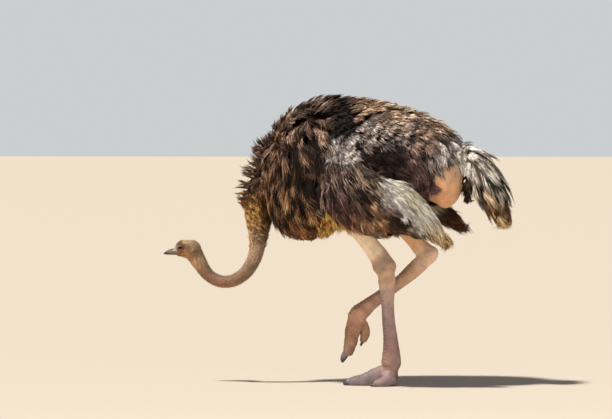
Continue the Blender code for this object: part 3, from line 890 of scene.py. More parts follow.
def place_tones(table, p, crisp=1.0):
    """Values blended from the nearest rows (x, z, reach, values) in side view; crisp sharpens borders."""
    near = (p[:, 0:1] - table[:, 0]) ** 2 + (p[:, 2:3] - table[:, 1]) ** 2
    weight = np.exp(-((near / (2 * table[:, 2] ** 2)) ** crisp)) + 1e-5 / (near + 1e-4)
    weight /= weight.sum(1, keepdims=True)
    return weight @ table[:, 3:]


p = own(points)
skin_places = np.array([(*metres(row[:3])[0], *tone(*row[3:])) for row in SKIN_PLACES])
clouding = 1 + 0.10 * waves(points, 0.05, 11) + 0.07 * waves(points, 0.016, 12)
tint = place_tones(skin_places, p) * clouding[:, None]
for mask, colour in (
    (0.8 * scute_edge, tone(92, 74, 68)),
    ((p[:, 2] > EYE[2] - 0.002) * lid**3 * 0.35, tone(150, 118, 98)),
    (np.clip(lid_rim * 2.4, 0, 1) * 0.9, tone(34, 23, 18)),
    (np.clip(lid_rim, 0, 1) * 0.95, tone(26, 20, 19)),
    # the skin inside each eye's opening, behind the lids, near black: painted shade in the gap
    (np.clip(in_eye, 0, 1), tone(16, 12, 11)),
    # the ear's pit darkened nearly to black: painted shade in the recess
    (np.where(p[:, 0] < -0.86, 1 - ease(0.7, 1.3, ear), 0) * 0.9, tone(34, 24, 20)),
):
    tint = blend(tint, colour, mask[:, None])
set_tint(skin.data, np.clip(tint, 0.002, 0.95))
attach(skin, "root")
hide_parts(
    "trunk", "neck_base", "neck_fall", "neck_bend", "neck_rise", "head",
    *(part + word for word in LEGS for part in ("shank_", "tarsus_", "toe_inner_", "toe_outer_")),
)

# ---------------------------------------------------------------- eyes, bill and claws


def eyeball(word, side):
    """A dark eye: a ball with the clear bulge of the cornea over a brown iris and black pupil."""
    pupil, iris, bulge = 0.30, 0.60, 0.62  # how far each reaches from the middle, in radians
    tones = tone(7, 5, 5), tone(34, 21, 13), tone(22, 15, 13)
    bpy.ops.object.select_all(action="DESELECT")
    centre = Vector((EYE[0] + AHEAD, EYE[1] * side, EYE[2]))
    bpy.ops.mesh.primitive_uv_sphere_add(segments=48, ring_count=32, radius=EYE_RADIUS, location=centre)
    made = bpy.context.object
    made.name = made.data.name = "eyeball_" + word
    bpy.ops.object.transform_apply(location=True, rotation=True, scale=True)
    outward = Vector((-0.12, 0.99 * side, -0.03)).normalized()
    colours = []
    for vert in made.data.vertices:
        v = vert.co - centre
        turn = math.acos(max(-1, min(1, v.normalized().dot(outward))))
        vert.co = centre + v * (1 + 0.045 * max(0.0, 1 - (turn / bulge) ** 2) ** 1.2)
        colours.append(tones[0] if turn < pupil else tones[1] if turn < iris else tones[2])
    bpy.ops.object.shade_smooth()
    set_tint(made.data, np.array(colours))
    made.data.materials.append(MATERIALS["eye"])
    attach(made, "root")
    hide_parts("eye_" + word)


for word, side in SIDES:
    eyeball(word, side)


def halve_bill(kept):
    """A cut that leaves the bill's upper (1) or lower (-1) half, closed along the gape."""

    def cut(bm):
        made = bmesh.ops.bisect_plane(
            bm, geom=bm.verts[:] + bm.edges[:] + bm.faces[:], plane_co=(0, 0, GAPE + kept * SLIT),
            plane_no=(0, 0, 1), clear_inner=kept > 0, clear_outer=kept < 0,
        )
        rim_edges = [e for e in made["geom_cut"] if isinstance(e, bmesh.types.BMEdge)]
        bmesh.ops.holes_fill(bm, edges=rim_edges, sides=0)
        bmesh.ops.recalc_face_normals(bm, faces=bm.faces)
        bmesh.ops.triangulate(bm, faces=bm.faces)

    return cut


def bill_half(name, kept, replaced):
    """Half of the flat, broad bill: ridge plate, grooved nostrils, sharp edges and a rounded nail."""
    points, faces, _ = tube(outline(BILL_ROWS), 90, 72, power=2.3, domes=(0, 0.006), upright=True)
    made = make_mesh(name, points, faces, MATERIALS["bill"])
    edit_mesh(made.data, halve_bill(kept))
    points, faces = mesh_arrays(made.data)
    normals = corner_normals(points, faces)
    x, y, z = own(points).T
    wide, height = np.abs(y), np.zeros(len(x))
    nostril = opening(x, z, NOSTRIL)
    flank = ease(0.006, 0.010, wide)
    if kept > 0:
        height -= flank * 0.0034 * (1 - ease(0.45, 1.05, nostril))
        height += flank * 0.0006 * hump(nostril, 1.45, 0.35)
        height += 0.0011 * (1 - ease(0.005, 0.0085, wide)) * (z > 0.62)
        height += ease(-1.018, -1.024, x) * 0.0008 - 0.0007 * hump(x, -1.0205, 0.0012)
    edge = hump(z, GAPE, 0.0018)
    height += 0.0005 * edge * (np.abs(normals[:, 2]) < 0.8)
    height = np.where(np.abs(z - GAPE) < 0.0005, 0, height)
    points = points + normals * height[:, None]
    made.data.vertices.foreach_set("co", flat_floats(points))
    middle = hump(x, -1.004, 0.014)[:, None] * 0.7
    colour = blend(np.array(tone(126, 107, 90)), tone(98, 95, 93), middle)
    colour = blend(colour, tone(60, 45, 35), ease(-1.004, -1.030, x)[:, None])
    # darker along the gape, where the two halves meet: painted shade in the crease
    colour = colour * (1 - 0.45 * edge[:, None])
    if kept > 0:
        ridge = 0.45 * (1 - ease(0.004, 0.009, wide)) * (z > 0.62)
        colour = blend(colour, tone(58, 48, 42), ridge[:, None])
        # the nostril's groove darkened nearly to black: painted shade in the recess
        colour = blend(colour, tone(22, 17, 15), ((1 - ease(0.7, 1.15, nostril)) * flank)[:, None])
    set_tint(made.data, np.clip(colour, 0.003, 0.9))
    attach(made, "root")
    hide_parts(replaced)


bill_half("bill_top", 1, "bill_upper")
bill_half("bill_under", -1, "bill_lower")


def make_claw(name, rows, floor):
    """A blunt nail, with growth rings, and a worn tip darker than its base."""
    points, faces, cells = tube(rows, 44, 32, domes=(0.0, 0.004), floor=floor)
    normals = corner_normals(points, faces)
    along = np.zeros(len(points))
    along[faces[:, 0]] = cells[:, 0]
    along[-1] = 1.0
    ripple = 0.00022 * np.sin(along * 46) + 0.0002 * waves(points, 0.006, 21)
    points = points + normals * ripple[:, None]
    if floor is not None:
        points[:, 2] = np.maximum(points[:, 2], floor)
    made = make_mesh(name, points, faces, MATERIALS["claw"])
    worn = ease(0.15, 0.75, along)[:, None]
    set_tint(made.data, blend(np.array(tone(120, 116, 116)), tone(58, 60, 66), worn))
    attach(made, "root")
    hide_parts(name.replace("nail", "claw"))


for word, leg in LEGS.items():
    for part in ("inner", "outer"):
        make_claw(f"nail_{part}_{word}", leg["claw_" + part], leg["floor"])

# ---------------------------------------------------------------- the coat


class Cover:
    """What feathers lie along: a closed form, searched for its nearest place."""

    def __init__(self, points, faces):
        self.points, self.faces = points, faces
        self.normals = corner_normals(points, faces)
        self.search = BVHTree.FromPolygons(points.tolist(), faces.tolist())

    def nearest(self, points):
        """For each point, the closest place on the form and the way out from it."""
        found = [self.search.find_nearest(p) for p in points.tolist()]
        return np.array([f[0] for f in found]), unit(self.normals[self.faces[[f[2] for f in found]]].mean(1))

    def depth(self, points):
        """How far inside the form each point is; below 0 outside."""
        at, facing = self.nearest(points)
        return dot(at - points, facing)


class Ground(Cover):
    """The plumage's outer form of one part, where feathers root."""

    def __init__(self, *args, **keys):
        points, faces, self.cells = tube(*args, **keys)
        super().__init__(points, faces)

    def sample(self, count, chance, weigh=None):
        """Evenly scattered roots: points, normals and their places (0 to 1) on the part's unwrap."""
        order = np.lexsort((self.cells[:, 1], self.cells[:, 0]))
        faces, cells = self.faces[order], self.cells[order]
        a, b, c = (self.points[faces[:, k]] for k in range(3))
        flat = np.cross(b - a, c - a)
        area = np.linalg.norm(flat, axis=1) / 2
        if weigh is not None:
            area = area * weigh(own((a + b + c) / 3), unit(flat))
        total = np.cumsum(area)
        drawn = (np.arange(count) + chance.random(count)) / count * total[-1]
        pick = np.minimum(np.searchsorted(total, drawn), len(faces) - 1)
        r, t = np.sqrt(chance.random(count))[:, None], chance.random(count)[:, None]
        mix = [1 - r, r * (1 - t), r * t]
        at = sum(m * v[pick] for m, v in zip(mix, (a, b, c)))
        facing = unit(sum(m * self.normals[faces[pick, k]] for k, m in enumerate(mix)))
        return at, facing, cells[pick]


LOCK_SIDES = [(1, 2, 5), (1, 5, 4), (2, 3, 6), (2, 6, 5), (3, 1, 4), (3, 4, 6)]
LOCK_FACES = np.array([(0, 2, 1), (0, 3, 2), (0, 1, 3), *LOCK_SIDES, (7, 4, 5), (7, 5, 6), (7, 6, 4)])
HAIR_FACES = np.array([(0, 2, 1), (3, 0, 1), (3, 1, 2), (3, 2, 0)])
# How a lock and a hair are cut. marks: places along it; opened and closed: how far locks stand apart there,
# in a fan and in a point; level and across: where each corner lies along and across it.
LOCK_CUT = {
    "marks": (0, 0.36, 0.74, 1), "opened": (0.22, 0.75, 1, 1.12), "closed": (0.3, 0.85, 0.8, 0.35),
    "level": (0, 0.36, 0.36, 0.36, 0.74, 0.74, 0.74, 1),
    "across": (0, -0.12, 0.12, 0, -0.102, 0.102, 0, 0),
}
HAIR_CUT = {
    "marks": (0, 1), "opened": (0.22, 1), "closed": (0.4, 0.7),
    "level": (0, 0, 0, 1), "across": (-0.1, 0.1, 0, 0),
}
LOCK_RIDGE, HAIR_RIDGE = 0.32, 0.7  # the height of a lock's ridge, as a share of its width
THIRDS = np.array((0.0, 1 / 3, 2 / 3, 1.0))
RISES = (0.55, 0.88, 1.0)  # how far a tuft has come up from its root's depth at each third
ROOM = (0.030, 0.014, 0.030)  # how far tips may stand out of the solids' box, along x, y and z
LOOSE = 0.06  # the share of feathers that stand off the rest
STREAK_AND_HIGHLIGHT_SHARE = 0.42  # the share of pale feathers among the dark ones, at most: partly the plumage's own streaks, partly painted highlight
SAG = 0.05  # how much the weight of the feathers pulls their lie down
ON_COVER = 0.04  # a root this far from the cover or farther is left out
PATCH = 0.003  # how wide a tuft's patch is on the OFBake map


def through(u):
    """Weights that carry a smooth curve through four points a third apart, and those of its slope."""
    place, slope = [], []
    for at in THIRDS:
        a, b, c = THIRDS[THIRDS != at]
        scale = np.prod([at - a, at - b, at - c])
        place.append((u - a) * (u - b) * (u - c) / scale)
        slope.append(((u - b) * (u - c) + (u - a) * (u - c) + (u - a) * (u - b)) / scale)
    return np.stack(place, -1), np.stack(slope, -1)


def hanging(stiff, away):
    """How far a tuft that points out from the form hangs free of it, rather than being bent along it."""
    return np.clip(2 * stiff - 1.1, 0, 1) * (away > 0)


def lay_along(ground, roots, facing, flow, length, sink, proud, stiff):
    """Each tuft's middle line, four points from the root down the lie of the coat; the way out at each."""
    lines, outs = [roots - facing * sink[:, None]], [facing]
    at, out = roots, facing
    away = dot(flow, out)
    bound = 1 - hanging(stiff, away)[:, None]
    heading = unit(flow - bound * away[:, None] * out)
    for k, rise in enumerate(RISES, 1):
        straight = at + heading * (length / 3)[:, None]
        on, way = ground.nearest(straight)
        free = np.clip(stiff * k / 2.4, 0, 1)[:, None]
        at = on * (1 - free) + straight * free
        out = unit(way * (1 - free) + out * free)
        lines.append(at + out * (-sink * (1 - rise) + proud * rise)[:, None])
        outs.append(out)
        pull = heading * 0.75 + flow * 0.25
        heading = unit(pull - bound * dot(pull, out)[:, None] * out)
    return np.stack(lines, 1), np.stack(outs, 1)


def hold_within(points):
    """Presses what stands far out of the solids' box gently back towards it."""
    for axis, room in enumerate(ROOM):
        for sign, limit in ((-1, cad_low[axis]), (1, cad_high[axis])):
            over = np.maximum(sign * (points[..., axis] - limit), 0)
            points[..., axis] -= sign * (over - room * np.tanh(over / room))
    return points


def build_locks(name, lines, outs, look, cells, material, chance, locks, hair):
    """One mesh of many tufts. Each is a spray of thin, closed locks that share a root."""
    count = len(lines)
    keys = ("fan", "half", "stray", "length", "ramp", "uneven")
    fan, half, stray, length, ramp, uneven = (look[key][:, None, None] for key in keys)
    cut = {key: np.array(values, float) for key, values in (HAIR_CUT if hair else LOCK_CUT).items()}
    marks, level, across = cut["marks"], cut["level"], cut["across"]
    spots = np.linspace(-1, 1, locks)[None] + chance.normal(0, 0.16, (count, locks))
    reach = 1 - 0.16 * np.abs(spots) ** 2 * fan[:, 0] + chance.normal(0, 0.10, (count, locks))
    place, slope = through(np.clip(reach, 0.55, 1.15)[..., None] * marks)
    at = np.einsum("mjnk,mkc->mjnc", place, lines)
    run = unit(np.einsum("mjnk,mkc->mjnc", slope, lines))
    side = unit(np.cross(unit(np.einsum("mjnk,mkc->mjnc", place, outs)), run))
    out = np.cross(run, side)
    spread = (cut["opened"] * fan + cut["closed"] * (1 - fan)) * half
    bend = chance.normal(0, 1, (count, locks, 1)) * stray * marks**2 * 0.09
    lift = np.abs(chance.normal(0, 1, (count, locks, 1))) * stray * marks**2 * 0.035
    lift = lift + chance.normal(0, 0.0012, (count, locks, 1))
    at = at + side * (spots[..., None] * spread + bend * length)[..., None]
    at = at + out * (lift * length)[..., None]
    width = look["width"][:, None] * chance.uniform(0.75, 1.25, (count, locks))

    def ring(k, full, ridge):
        """Three corners round a lock: its two edges and the ridge between them."""
        here, wide, w = at[:, :, k], side[:, :, k], (width * full)[..., None]
        return [here - wide * w / 2, here + wide * w / 2, here + out[:, :, k] * w * ridge]

    if hair:
        corners, template = [*ring(0, 1.0, HAIR_RIDGE), at[:, :, 1]], HAIR_FACES
    else:
        middle = ring(1, 1.0, LOCK_RIDGE) + ring(2, 0.85, LOCK_RIDGE)
        corners, template = [at[:, :, 0], *middle, at[:, :, 3]], LOCK_FACES
    verts = hold_within(np.stack(corners, 2))
    per = verts.shape[2]
    # colour from root to tip, the dark roots partly painted shade between feathers; one side of each tuft is
    # painted lighter and the other darker, a painted lit edge and shaded side, and each lock is also a little
    # lighter or darker than its neighbours at random
    t = (level**ramp * np.ones((count, locks, 1)))[..., None]
    painted_lit_side_and_jitter = chance.normal(0, 1, (count, 1)) * spots * 1.3 + chance.normal(0, 1, (count, locks))
    shade = np.clip(np.exp(painted_lit_side_and_jitter[..., None] * uneven), 0.25, 2.4)
    tint = look["root"][:, None, None] * (1 - t) + look["tip"][:, None, None] * t
    faces = (np.arange(count * locks)[:, None, None] * per + template[None]).reshape(-1, 3)
    made = make_mesh(name, verts.reshape(-1, 3), faces, material)
    set_tint(made.data, np.clip(tint * shade[..., None], 0.001, 0.9).reshape(-1, 3))
    start = chance.uniform(0, 40, (count, locks, 1))
    lie = np.stack(np.broadcast_arrays(across * 8 + spots[..., None] * 2, level, start), -1)
    made.data.attributes.new("lie", "FLOAT_VECTOR", "POINT").data.foreach_set("vector", flat_floats(lie))
    # each tuft's patch on the map, at its root's place on the unwrap
    inside = (np.clip(0.5 + 0.34 * spots[..., None] + across * 0.6, 0, 1), level)
    patch = [0.004 + 0.985 * cells[:, None, None, k] + PATCH * part for k, part in enumerate(inside)]
    patch = np.stack(np.broadcast_arrays(*patch), -1).reshape(-1, 2)
    made.data.uv_layers.new(name="OFBake").data.foreach_set("uv", flat_floats(patch[faces.ravel()]))
    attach(made, "root")
    return made


# Ways a coat can grow. half: half a tuft's breadth; width: one lock's; apart: how far a feather's tufts root
# from each other; fan: 0 closes to a point, 1 opens to a round end; sink and proud: how deep the root and
# how high the tip lie; stiff: how far it runs straight; stray and wave: how unruly; uneven: how much the tone
# varies between locks, and how strongly one side of each tuft is painted lighter and the other darker, as a
# painted lit edge and shaded side; mottle: how much the tone varies between feathers, and how much lighter
# higher feathers are painted, as painted light and shade; clump: how far tips draw together; layer: how much
# feathers differ in height; ramp: how late the root's tone turns into the tip's, the dark roots being partly
# the feathers' own dark bases and partly painted shade between feathers.
STYLE_COLUMNS = "half width apart fan sink proud stiff stray uneven mottle clump layer wave ramp".split()
STYLES = {
    "locks": (0.0042, 0.0036, 0.36, 0.1, 0.032, 0.006, 0.35, 0.8, 0.5, 0.8, 0.7, 0.013, 0.011, 2.6),
    "tufts": (0.008, 0.0048, 0.55, 0.4, 0.03, 0.007, 0.45, 1.2, 0.4, 0.6, 0.5, 0.01, 0.006, 2.6),
    "scallops": (0.0078, 0.0056, 0.9, 0.8, 0.028, 0.006, 0.4, 0.45, 0.28, 0.6, 0.05, 0.006, 0.003, 3.4),
    "shaded_hollow": (0.01, 0.0056, 0.8, 0.5, 0.036, -0.016, 0.2, 0.8, 0.3, 0.5, 0.3, 0.006, 0.004, 2),
    "soft": (0.008, 0.0054, 0.6, 0.5, 0.028, 0.003, 0.25, 1, 0.25, 0.6, 0.25, 0.009, 0.006, 2.6),
    "vanes": (0.0065, 0.0046, 0.5, 0.3, 0.02, 0.004, 0.25, 0.6, 0.34, 0.6, 0.55, 0.006, 0.004, 2.2),
    "barbs": (0.008, 0.0024, 0.6, 0.5, 0.014, 0.004, 0.3, 0.4, 0.42, 0.34, 0.5, 0.003, 0.002, 1.2),
    "ragged": (0.006, 0.0042, 0.55, 0.2, 0.018, 0.004, 0.58, 1, 0.4, 0.6, 0.6, 0.008, 0.008, 1.6),
    "tucked": (0.006, 0.0042, 0.55, 0.2, 0.024, 0.002, 0.22, 0.8, 0.4, 0.6, 0.6, 0.006, 0.008, 1.6),
    "streamer": (0.0055, 0.0038, 0.5, 0.2, 0.022, 0.004, 0.5, 0.8, 0.3, 0.25, 0.6, 0.009, 0.008, 1),
    "ruff": (0.003, 0.0016, 0.6, 0.3, 0.004, 0.006, 0.95, 1.4, 0.35, 0.4, 0.6, 0.004, 0.003, 1.4),
    "quills": (0.0024, 0.0036, 0.4, 0.1, 0.016, 0.026, 0.95, 1.2, 0.35, 0.45, 0.7, 0.008, 0.004, 1.3),
    "fuzz": (0.004, 0.0011, 0.7, 0.3, 0.003, 0.007, 0.5, 1.2, 0.28, 0.2, 0.5, 0.003, 0.003, 1.4),
    "shaft": (0.0005, 0.003, 0, 0, 0.01, 0.012, 0.25, 0.5, 0.1, 0.2, 0, 0.002, 0.002, 1),
    "fringe": (0.0055, 0.004, 0.6, 0.2, 0.012, 0.002, 1, 1, 0.4, 0.4, 0.6, 0.006, 0.008, 1),
    "down": (0.003, 0.0009, 0, 0.5, 0.0012, 0.0026, 0.6, 1.3, 0.25, 0.25, 0.1, 0.0006, 0.0004, 1),
}
COLUMNS = ["flow_x", "flow_z", "length", "streak", *STYLE_COLUMNS]


def coat_table(*places, all_are=()):
    """Places of a coat: x, z, reach, the flow's x and z, length, style and streak, root and tip tones.

    A style and streak that all_are alike in stand there, and not in the rows."""
    table = []
    for place in places:
        x, z, reach, flow_x, flow_z, length, style, streak, *tones = (*place[:6], *all_are, *place[6:])
        x, z, reach, length = metres((x, z, reach, length))[0]
        look = (flow_x, flow_z, length, streak, *STYLES[style], *tone(*tones[:3]), *tone(*tones[3:]))
        table.append((x, z, reach, *look))
    return np.array(table, float)


TRUNK_COAT = coat_table(
    (-440, 750, 50, 0.14, -1, 85, "tucked", 0.5, 14, 9, 7, 144, 93, 58),
    (-340, 740, 50, 0.14, -1, 85, "tucked", 0.5, 14, 9, 7, 154, 100, 60),
    (-440, 900, 70, 0.12, -1, 135, "locks", 1, 4, 2, 2, 127, 93, 67),
    (-420, 1060, 70, 0.16, -1, 160, "locks", 1, 4, 2, 2, 140, 105, 82),
    (-520, 1040, 50, 0.02, -1, 100, "locks", 1, 4, 2, 2, 121, 88, 66),
    (-360, 1200, 60, 0.35, -0.95, 130, "locks", 0.95, 7, 5, 4, 144, 112, 97),
    (-515, 1100, 25, 0.2, 0.95, 80, "locks", 0.5, 9, 6, 5, 110, 82, 64),
    (-500, 1190, 25, 0.5, 0.8, 75, "tufts", 0.4, 9, 6, 5, 110, 84, 68),
    (-460, 1250, 25, 0.8, 0.4, 80, "tufts", 0.4, 9, 6, 5, 108, 84, 70),
    (-420, 1280, 40, 0.75, -0.2, 90, "tufts", 0.2, 9, 6, 5, 106, 82, 68),
    (-270, 1330, 50, 1, -0.05, 80, "tufts", 0.2, 8, 6, 5, 87, 70, 61),
    (-280, 980, 60, 0.22, -1, 150, "locks", 1, 4, 2, 2, 150, 117, 98),
    (-300, 840, 50, 0.2, -1, 105, "locks", 1, 5, 3, 2, 157, 110, 74),
    # near-black feathers sunk in the hollow before the wing: painted shade
    (-200, 1265, 40, 0.6, -0.8, 55, "shaded_hollow", 0.2, 3, 2, 2, 12, 9, 8),
    (-130, 1225, 28, 0.7, -0.7, 50, "shaded_hollow", 0.2, 3, 2, 2, 12, 9, 8),
    (-175, 1215, 24, 0.6, -0.8, 45, "shaded_hollow", 0.2, 3, 2, 2, 12, 9, 8),
    (-215, 1152, 22, 0.45, -0.85, 60, "scallops", 0, 11, 8, 7, 252, 234, 229),
    (-143, 1136, 22, 0.75, -0.6, 65, "scallops", 0, 11, 8, 7, 250, 232, 227),
    (-55, 1315, 40, 1, -0.15, 75, "scallops", 0.1, 24, 18, 15, 210, 168, 136),
    (60, 1280, 50, 1, -0.25, 75, "scallops", 0.1, 26, 19, 16, 231, 186, 153),
    (200, 1230, 50, 0.9, -0.45, 70, "scallops", 0.2, 26, 20, 18, 225, 184, 156),
    (-40, 1225, 35, 0.9, -0.45, 70, "scallops", 0.1, 12, 9, 8, 170, 155, 149),
    (100, 1200, 40, 0.85, -0.5, 70, "scallops", 0.2, 12, 9, 9, 158, 142, 137),
    (-40, 1185, 22, 0.85, -0.5, 60, "scallops", 0, 12, 9, 9, 214, 196, 184),
    (40, 1180, 24, 0.8, -0.55, 60, "scallops", 0.1, 10, 7, 7, 170, 157, 155),
    (-50, 1105, 28, 0.8, -0.62, 80, "soft", 0.2, 5, 4, 4, 43, 28, 29),
    (40, 1100, 30, 0.8, -0.62, 80, "soft", 0.2, 5, 4, 4, 46, 29, 31),
    (10, 1050, 45, 0.8, -0.62, 85, "soft", 0.2, 5, 4, 4, 46, 29, 31),
    (170, 1070, 60, 0.62, -0.78, 85, "soft", 0.3, 12, 9, 9, 118, 93, 90),
    (140, 940, 50, 0.5, -0.88, 80, "soft", 0.25, 10, 7, 7, 90, 66, 61),
    (220, 980, 40, 0.3, -0.95, 70, "soft", 0.3, 12, 9, 9, 118, 90, 88),
    (280, 1130, 40, 0.4, -0.9, 100, "streamer", 0.8, 26, 22, 21, 200, 188, 184),
    (345, 1100, 30, 0.6, -0.8, 50, "soft", 0.4, 120, 106, 94, 245, 233, 220),
    (-50, 860, 60, 0.9, -0.35, 70, "locks", 0.2, 18, 12, 9, 104, 70, 44),
    # the breast's lower edge, bright orange: painted light from the sun shining through it and from the
    # floor's warm bounce
    (-200, 790, 40, 0.15, -1, 80, "ragged", 0.2, 96, 58, 28, 238, 160, 84),
    (200, 850, 50, 0.8, -0.5, 60, "vanes", 0.3, 18, 13, 10, 90, 64, 48),
)
WING_COAT = coat_table(
    (-200, 1120, 21, 0.35, -0.85, 60, "scallops", 0, 11, 8, 7, 252, 234, 229),
    (-135, 1104, 21, 0.75, -0.6, 60, "scallops", 0, 11, 8, 7, 241, 220, 212),
    (-250, 1080, 30, 0.05, -1, 110, "locks", 0.9, 9, 6, 6, 129, 106, 98),
    (-250, 980, 40, 0.05, -1, 120, "locks", 0.95, 9, 6, 6, 118, 94, 90),
    (-170, 1040, 35, 0.35, -0.94, 100, "vanes", 0.8, 14, 11, 10, 114, 97, 95),
    (-80, 1030, 35, 0.68, -0.73, 110, "vanes", 0.9, 13, 10, 9, 117, 99, 92),
    (-120, 950, 45, 0.6, -0.8, 110, "vanes", 0.85, 8, 5, 5, 65, 48, 50),
    (-240, 890, 50, 0.15, -0.99, 120, "locks", 0.9, 7, 5, 4, 97, 70, 64),
    (-140, 850, 50, 0.5, -0.86, 110, "vanes", 0.6, 10, 7, 6, 115, 79, 66),
    (-200, 800, 35, 0.25, -0.96, 100, "ragged", 0.3, 22, 14, 10, 182, 123, 73),
    (-60, 960, 30, 0.7, -0.71, 90, "vanes", 0.9, 12, 9, 8, 96, 77, 68),
    (-50, 880, 35, 0.66, -0.75, 90, "vanes", 0.7, 9, 7, 6, 108, 79, 67),
    (-50, 835, 35, 0.66, -0.75, 80, "ragged", 0.4, 34, 24, 17, 166, 126, 90),
    (-5, 975, 24, 0.78, -0.62, 110, "barbs", 0.1, 216, 193, 161, 255, 252, 243),
    (60, 945, 20, 0.8, -0.6, 120, "barbs", 0.2, 157, 132, 99, 255, 245, 208),
    (30, 915, 26, 0.72, -0.69, 100, "barbs", 0.1, 231, 213, 196, 255, 255, 255),
    (110, 910, 22, 0.78, -0.62, 120, "barbs", 0.2, 157, 134, 103, 255, 245, 212),
    (90, 870, 22, 0.7, -0.72, 100, "barbs", 0.1, 224, 211, 196, 255, 255, 255),
    (170, 850, 25, 0.74, -0.68, 120, "barbs", 0.15, 150, 134, 116, 250, 236, 214),
    (150, 810, 22, 0.66, -0.76, 100, "barbs", 0.2, 202, 181, 161, 255, 247, 232),
    (220, 790, 25, 0.64, -0.77, 110, "barbs", 0.2, 145, 123, 101, 245, 212, 176),
    (250, 740, 22, 0.54, -0.82, 100, "ragged", 0.3, 121, 97, 70, 223, 176, 124),
    (285, 700, 20, 0.45, -0.88, 80, "ragged", 0.4, 40, 27, 18, 134, 98, 62),
    (20, 835, 26, 0.8, -0.6, 80, "vanes", 0.2, 11, 7, 6, 67, 43, 29),
    (80, 800, 26, 0.82, -0.56, 90, "vanes", 0.2, 11, 7, 6, 56, 36, 24),
    (140, 755, 24, 0.8, -0.6, 90, "ragged", 0.2, 12, 8, 6, 66, 42, 28),
    (20, 755, 22, 0.66, -0.75, 70, "ragged", 0.2, 20, 13, 9, 104, 70, 46),
    (200, 710, 22, 0.56, -0.82, 80, "ragged", 0.2, 14, 9, 7, 76, 50, 34),
)
FAR_WING_ENDS = coat_table(
    (60, 910, 40, 0.85, -0.5, 120, "barbs", 0.1, 170, 158, 144, 236, 224, 206),
    (140, 870, 40, 0.85, -0.52, 120, "barbs", 0.2, 140, 126, 110, 214, 198, 176),
    (220, 830, 35, 0.84, -0.54, 110, "ragged", 0.3, 40, 27, 18, 124, 86, 50),
    (290, 790, 30, 0.78, -0.62, 100, "ragged", 0.4, 20, 13, 9, 104, 68, 36),
    (100, 780, 40, 0.84, -0.54, 100, "ragged", 0.3, 14, 9, 7, 84, 56, 36),
)
FAR_WING_COAT = np.concatenate([WING_COAT[WING_COAT[:, 0] < -0.01], FAR_WING_ENDS])
TAIL_COAT = coat_table(
    (330, 1120, 30, 0.9, -0.35, 80, "soft", 0.2, 195, 179, 164, 253, 245, 235),
    (440, 1100, 25, 0.8, -0.6, 110, "streamer", 0.8, 24, 18, 16, 208, 188, 168),
    (390, 1075, 35, 0.6, -0.8, 85, "soft", 0, 255, 242, 227, 255, 249, 242),
    (470, 1000, 35, 0.55, -0.84, 150, "streamer", 0.95, 10, 8, 7, 185, 172, 159),
    (420, 960, 30, 0.45, -0.9, 130, "streamer", 0.9, 14, 10, 9, 157, 137, 117),
    (510, 910, 35, 0.42, -0.9, 130, "streamer", 0.8, 16, 12, 10, 178, 142, 108),
    (450, 870, 30, 0.4, -0.9, 110, "ragged", 0.5, 70, 48, 33, 222, 160, 108),
    (550, 820, 30, 0.4, -0.91, 100, "ragged", 0.4, 112, 78, 52, 210, 152, 106),
    (480, 790, 30, 0.4, -0.91, 100, "ragged", 0.4, 112, 78, 52, 204, 148, 104),
)
TUFT_COAT = coat_table(
    (390, 970, 50, 0, -1, 80, "ragged", 0.8, 20, 15, 13, 112, 90, 78),
    (390, 900, 40, -0.05, -1, 50, "ragged", 0.6, 18, 13, 11, 92, 66, 52),
)
NECK_COAT = coat_table(
    (-470, 1120, 50, -0.1, -0.95, 110, "locks", 0.6, 18, 12, 11, 133, 104, 87),
    (-560, 1050, 40, -0.1, -1, 80, "locks", 0.6, 22, 13, 11, 129, 100, 83),
    (-620, 980, 35, -0.1, -1, 50, "tufts", 0.6, 22, 13, 11, 118, 88, 70),
    (-500, 950, 40, 0, -1, 110, "locks", 0.6, 18, 12, 10, 147, 109, 81),
    (-630, 900, 30, -0.4, 0.7, 36, "fuzz", 0.4, 22, 13, 10, 118, 85, 54),
    (-560, 890, 30, 0, 0.7, 36, "fuzz", 0.4, 24, 16, 10, 139, 100, 60),
    (-640, 850, 25, -0.85, 0.5, 38, "ruff", 0.5, 30, 20, 11, 156, 106, 54),
    (-550, 830, 25, 0.3, 1, 32, "fuzz", 0.5, 33, 22, 12, 161, 110, 52),
    (-600, 780, 25, -0.1, 1, 26, "fuzz", 0.5, 60, 40, 21, 179, 126, 67),
    (-580, 740, 20, 0, 1, 20, "fuzz", 0.4, 80, 57, 37, 184, 136, 84),
    (-600, 680, 20, 0, 1, 13, "fuzz", 0.3, 106, 83, 64, 194, 152, 112),
)
# Stiff, loose feathers that stand off the neck's base
QUILLS = coat_table(
    (-560, 1050, 30, -0.6, 0.6, 50, 12, 8, 7, 82, 55, 40),
    (-600, 980, 30, -0.85, 0.4, 55, 12, 8, 7, 82, 55, 38),
    (-630, 910, 20, -0.95, 0.1, 45, 20, 13, 9, 110, 72, 42),
    (-640, 850, 20, -0.8, 0.55, 34, 40, 27, 15, 140, 96, 52),
    (-520, 940, 40, 0.2, -0.3, 50, 18, 12, 9, 92, 62, 38),
    (-500, 1130, 30, -0.3, 0.8, 34, 12, 8, 7, 80, 56, 44),
    all_are=("quills", 0.2),
)
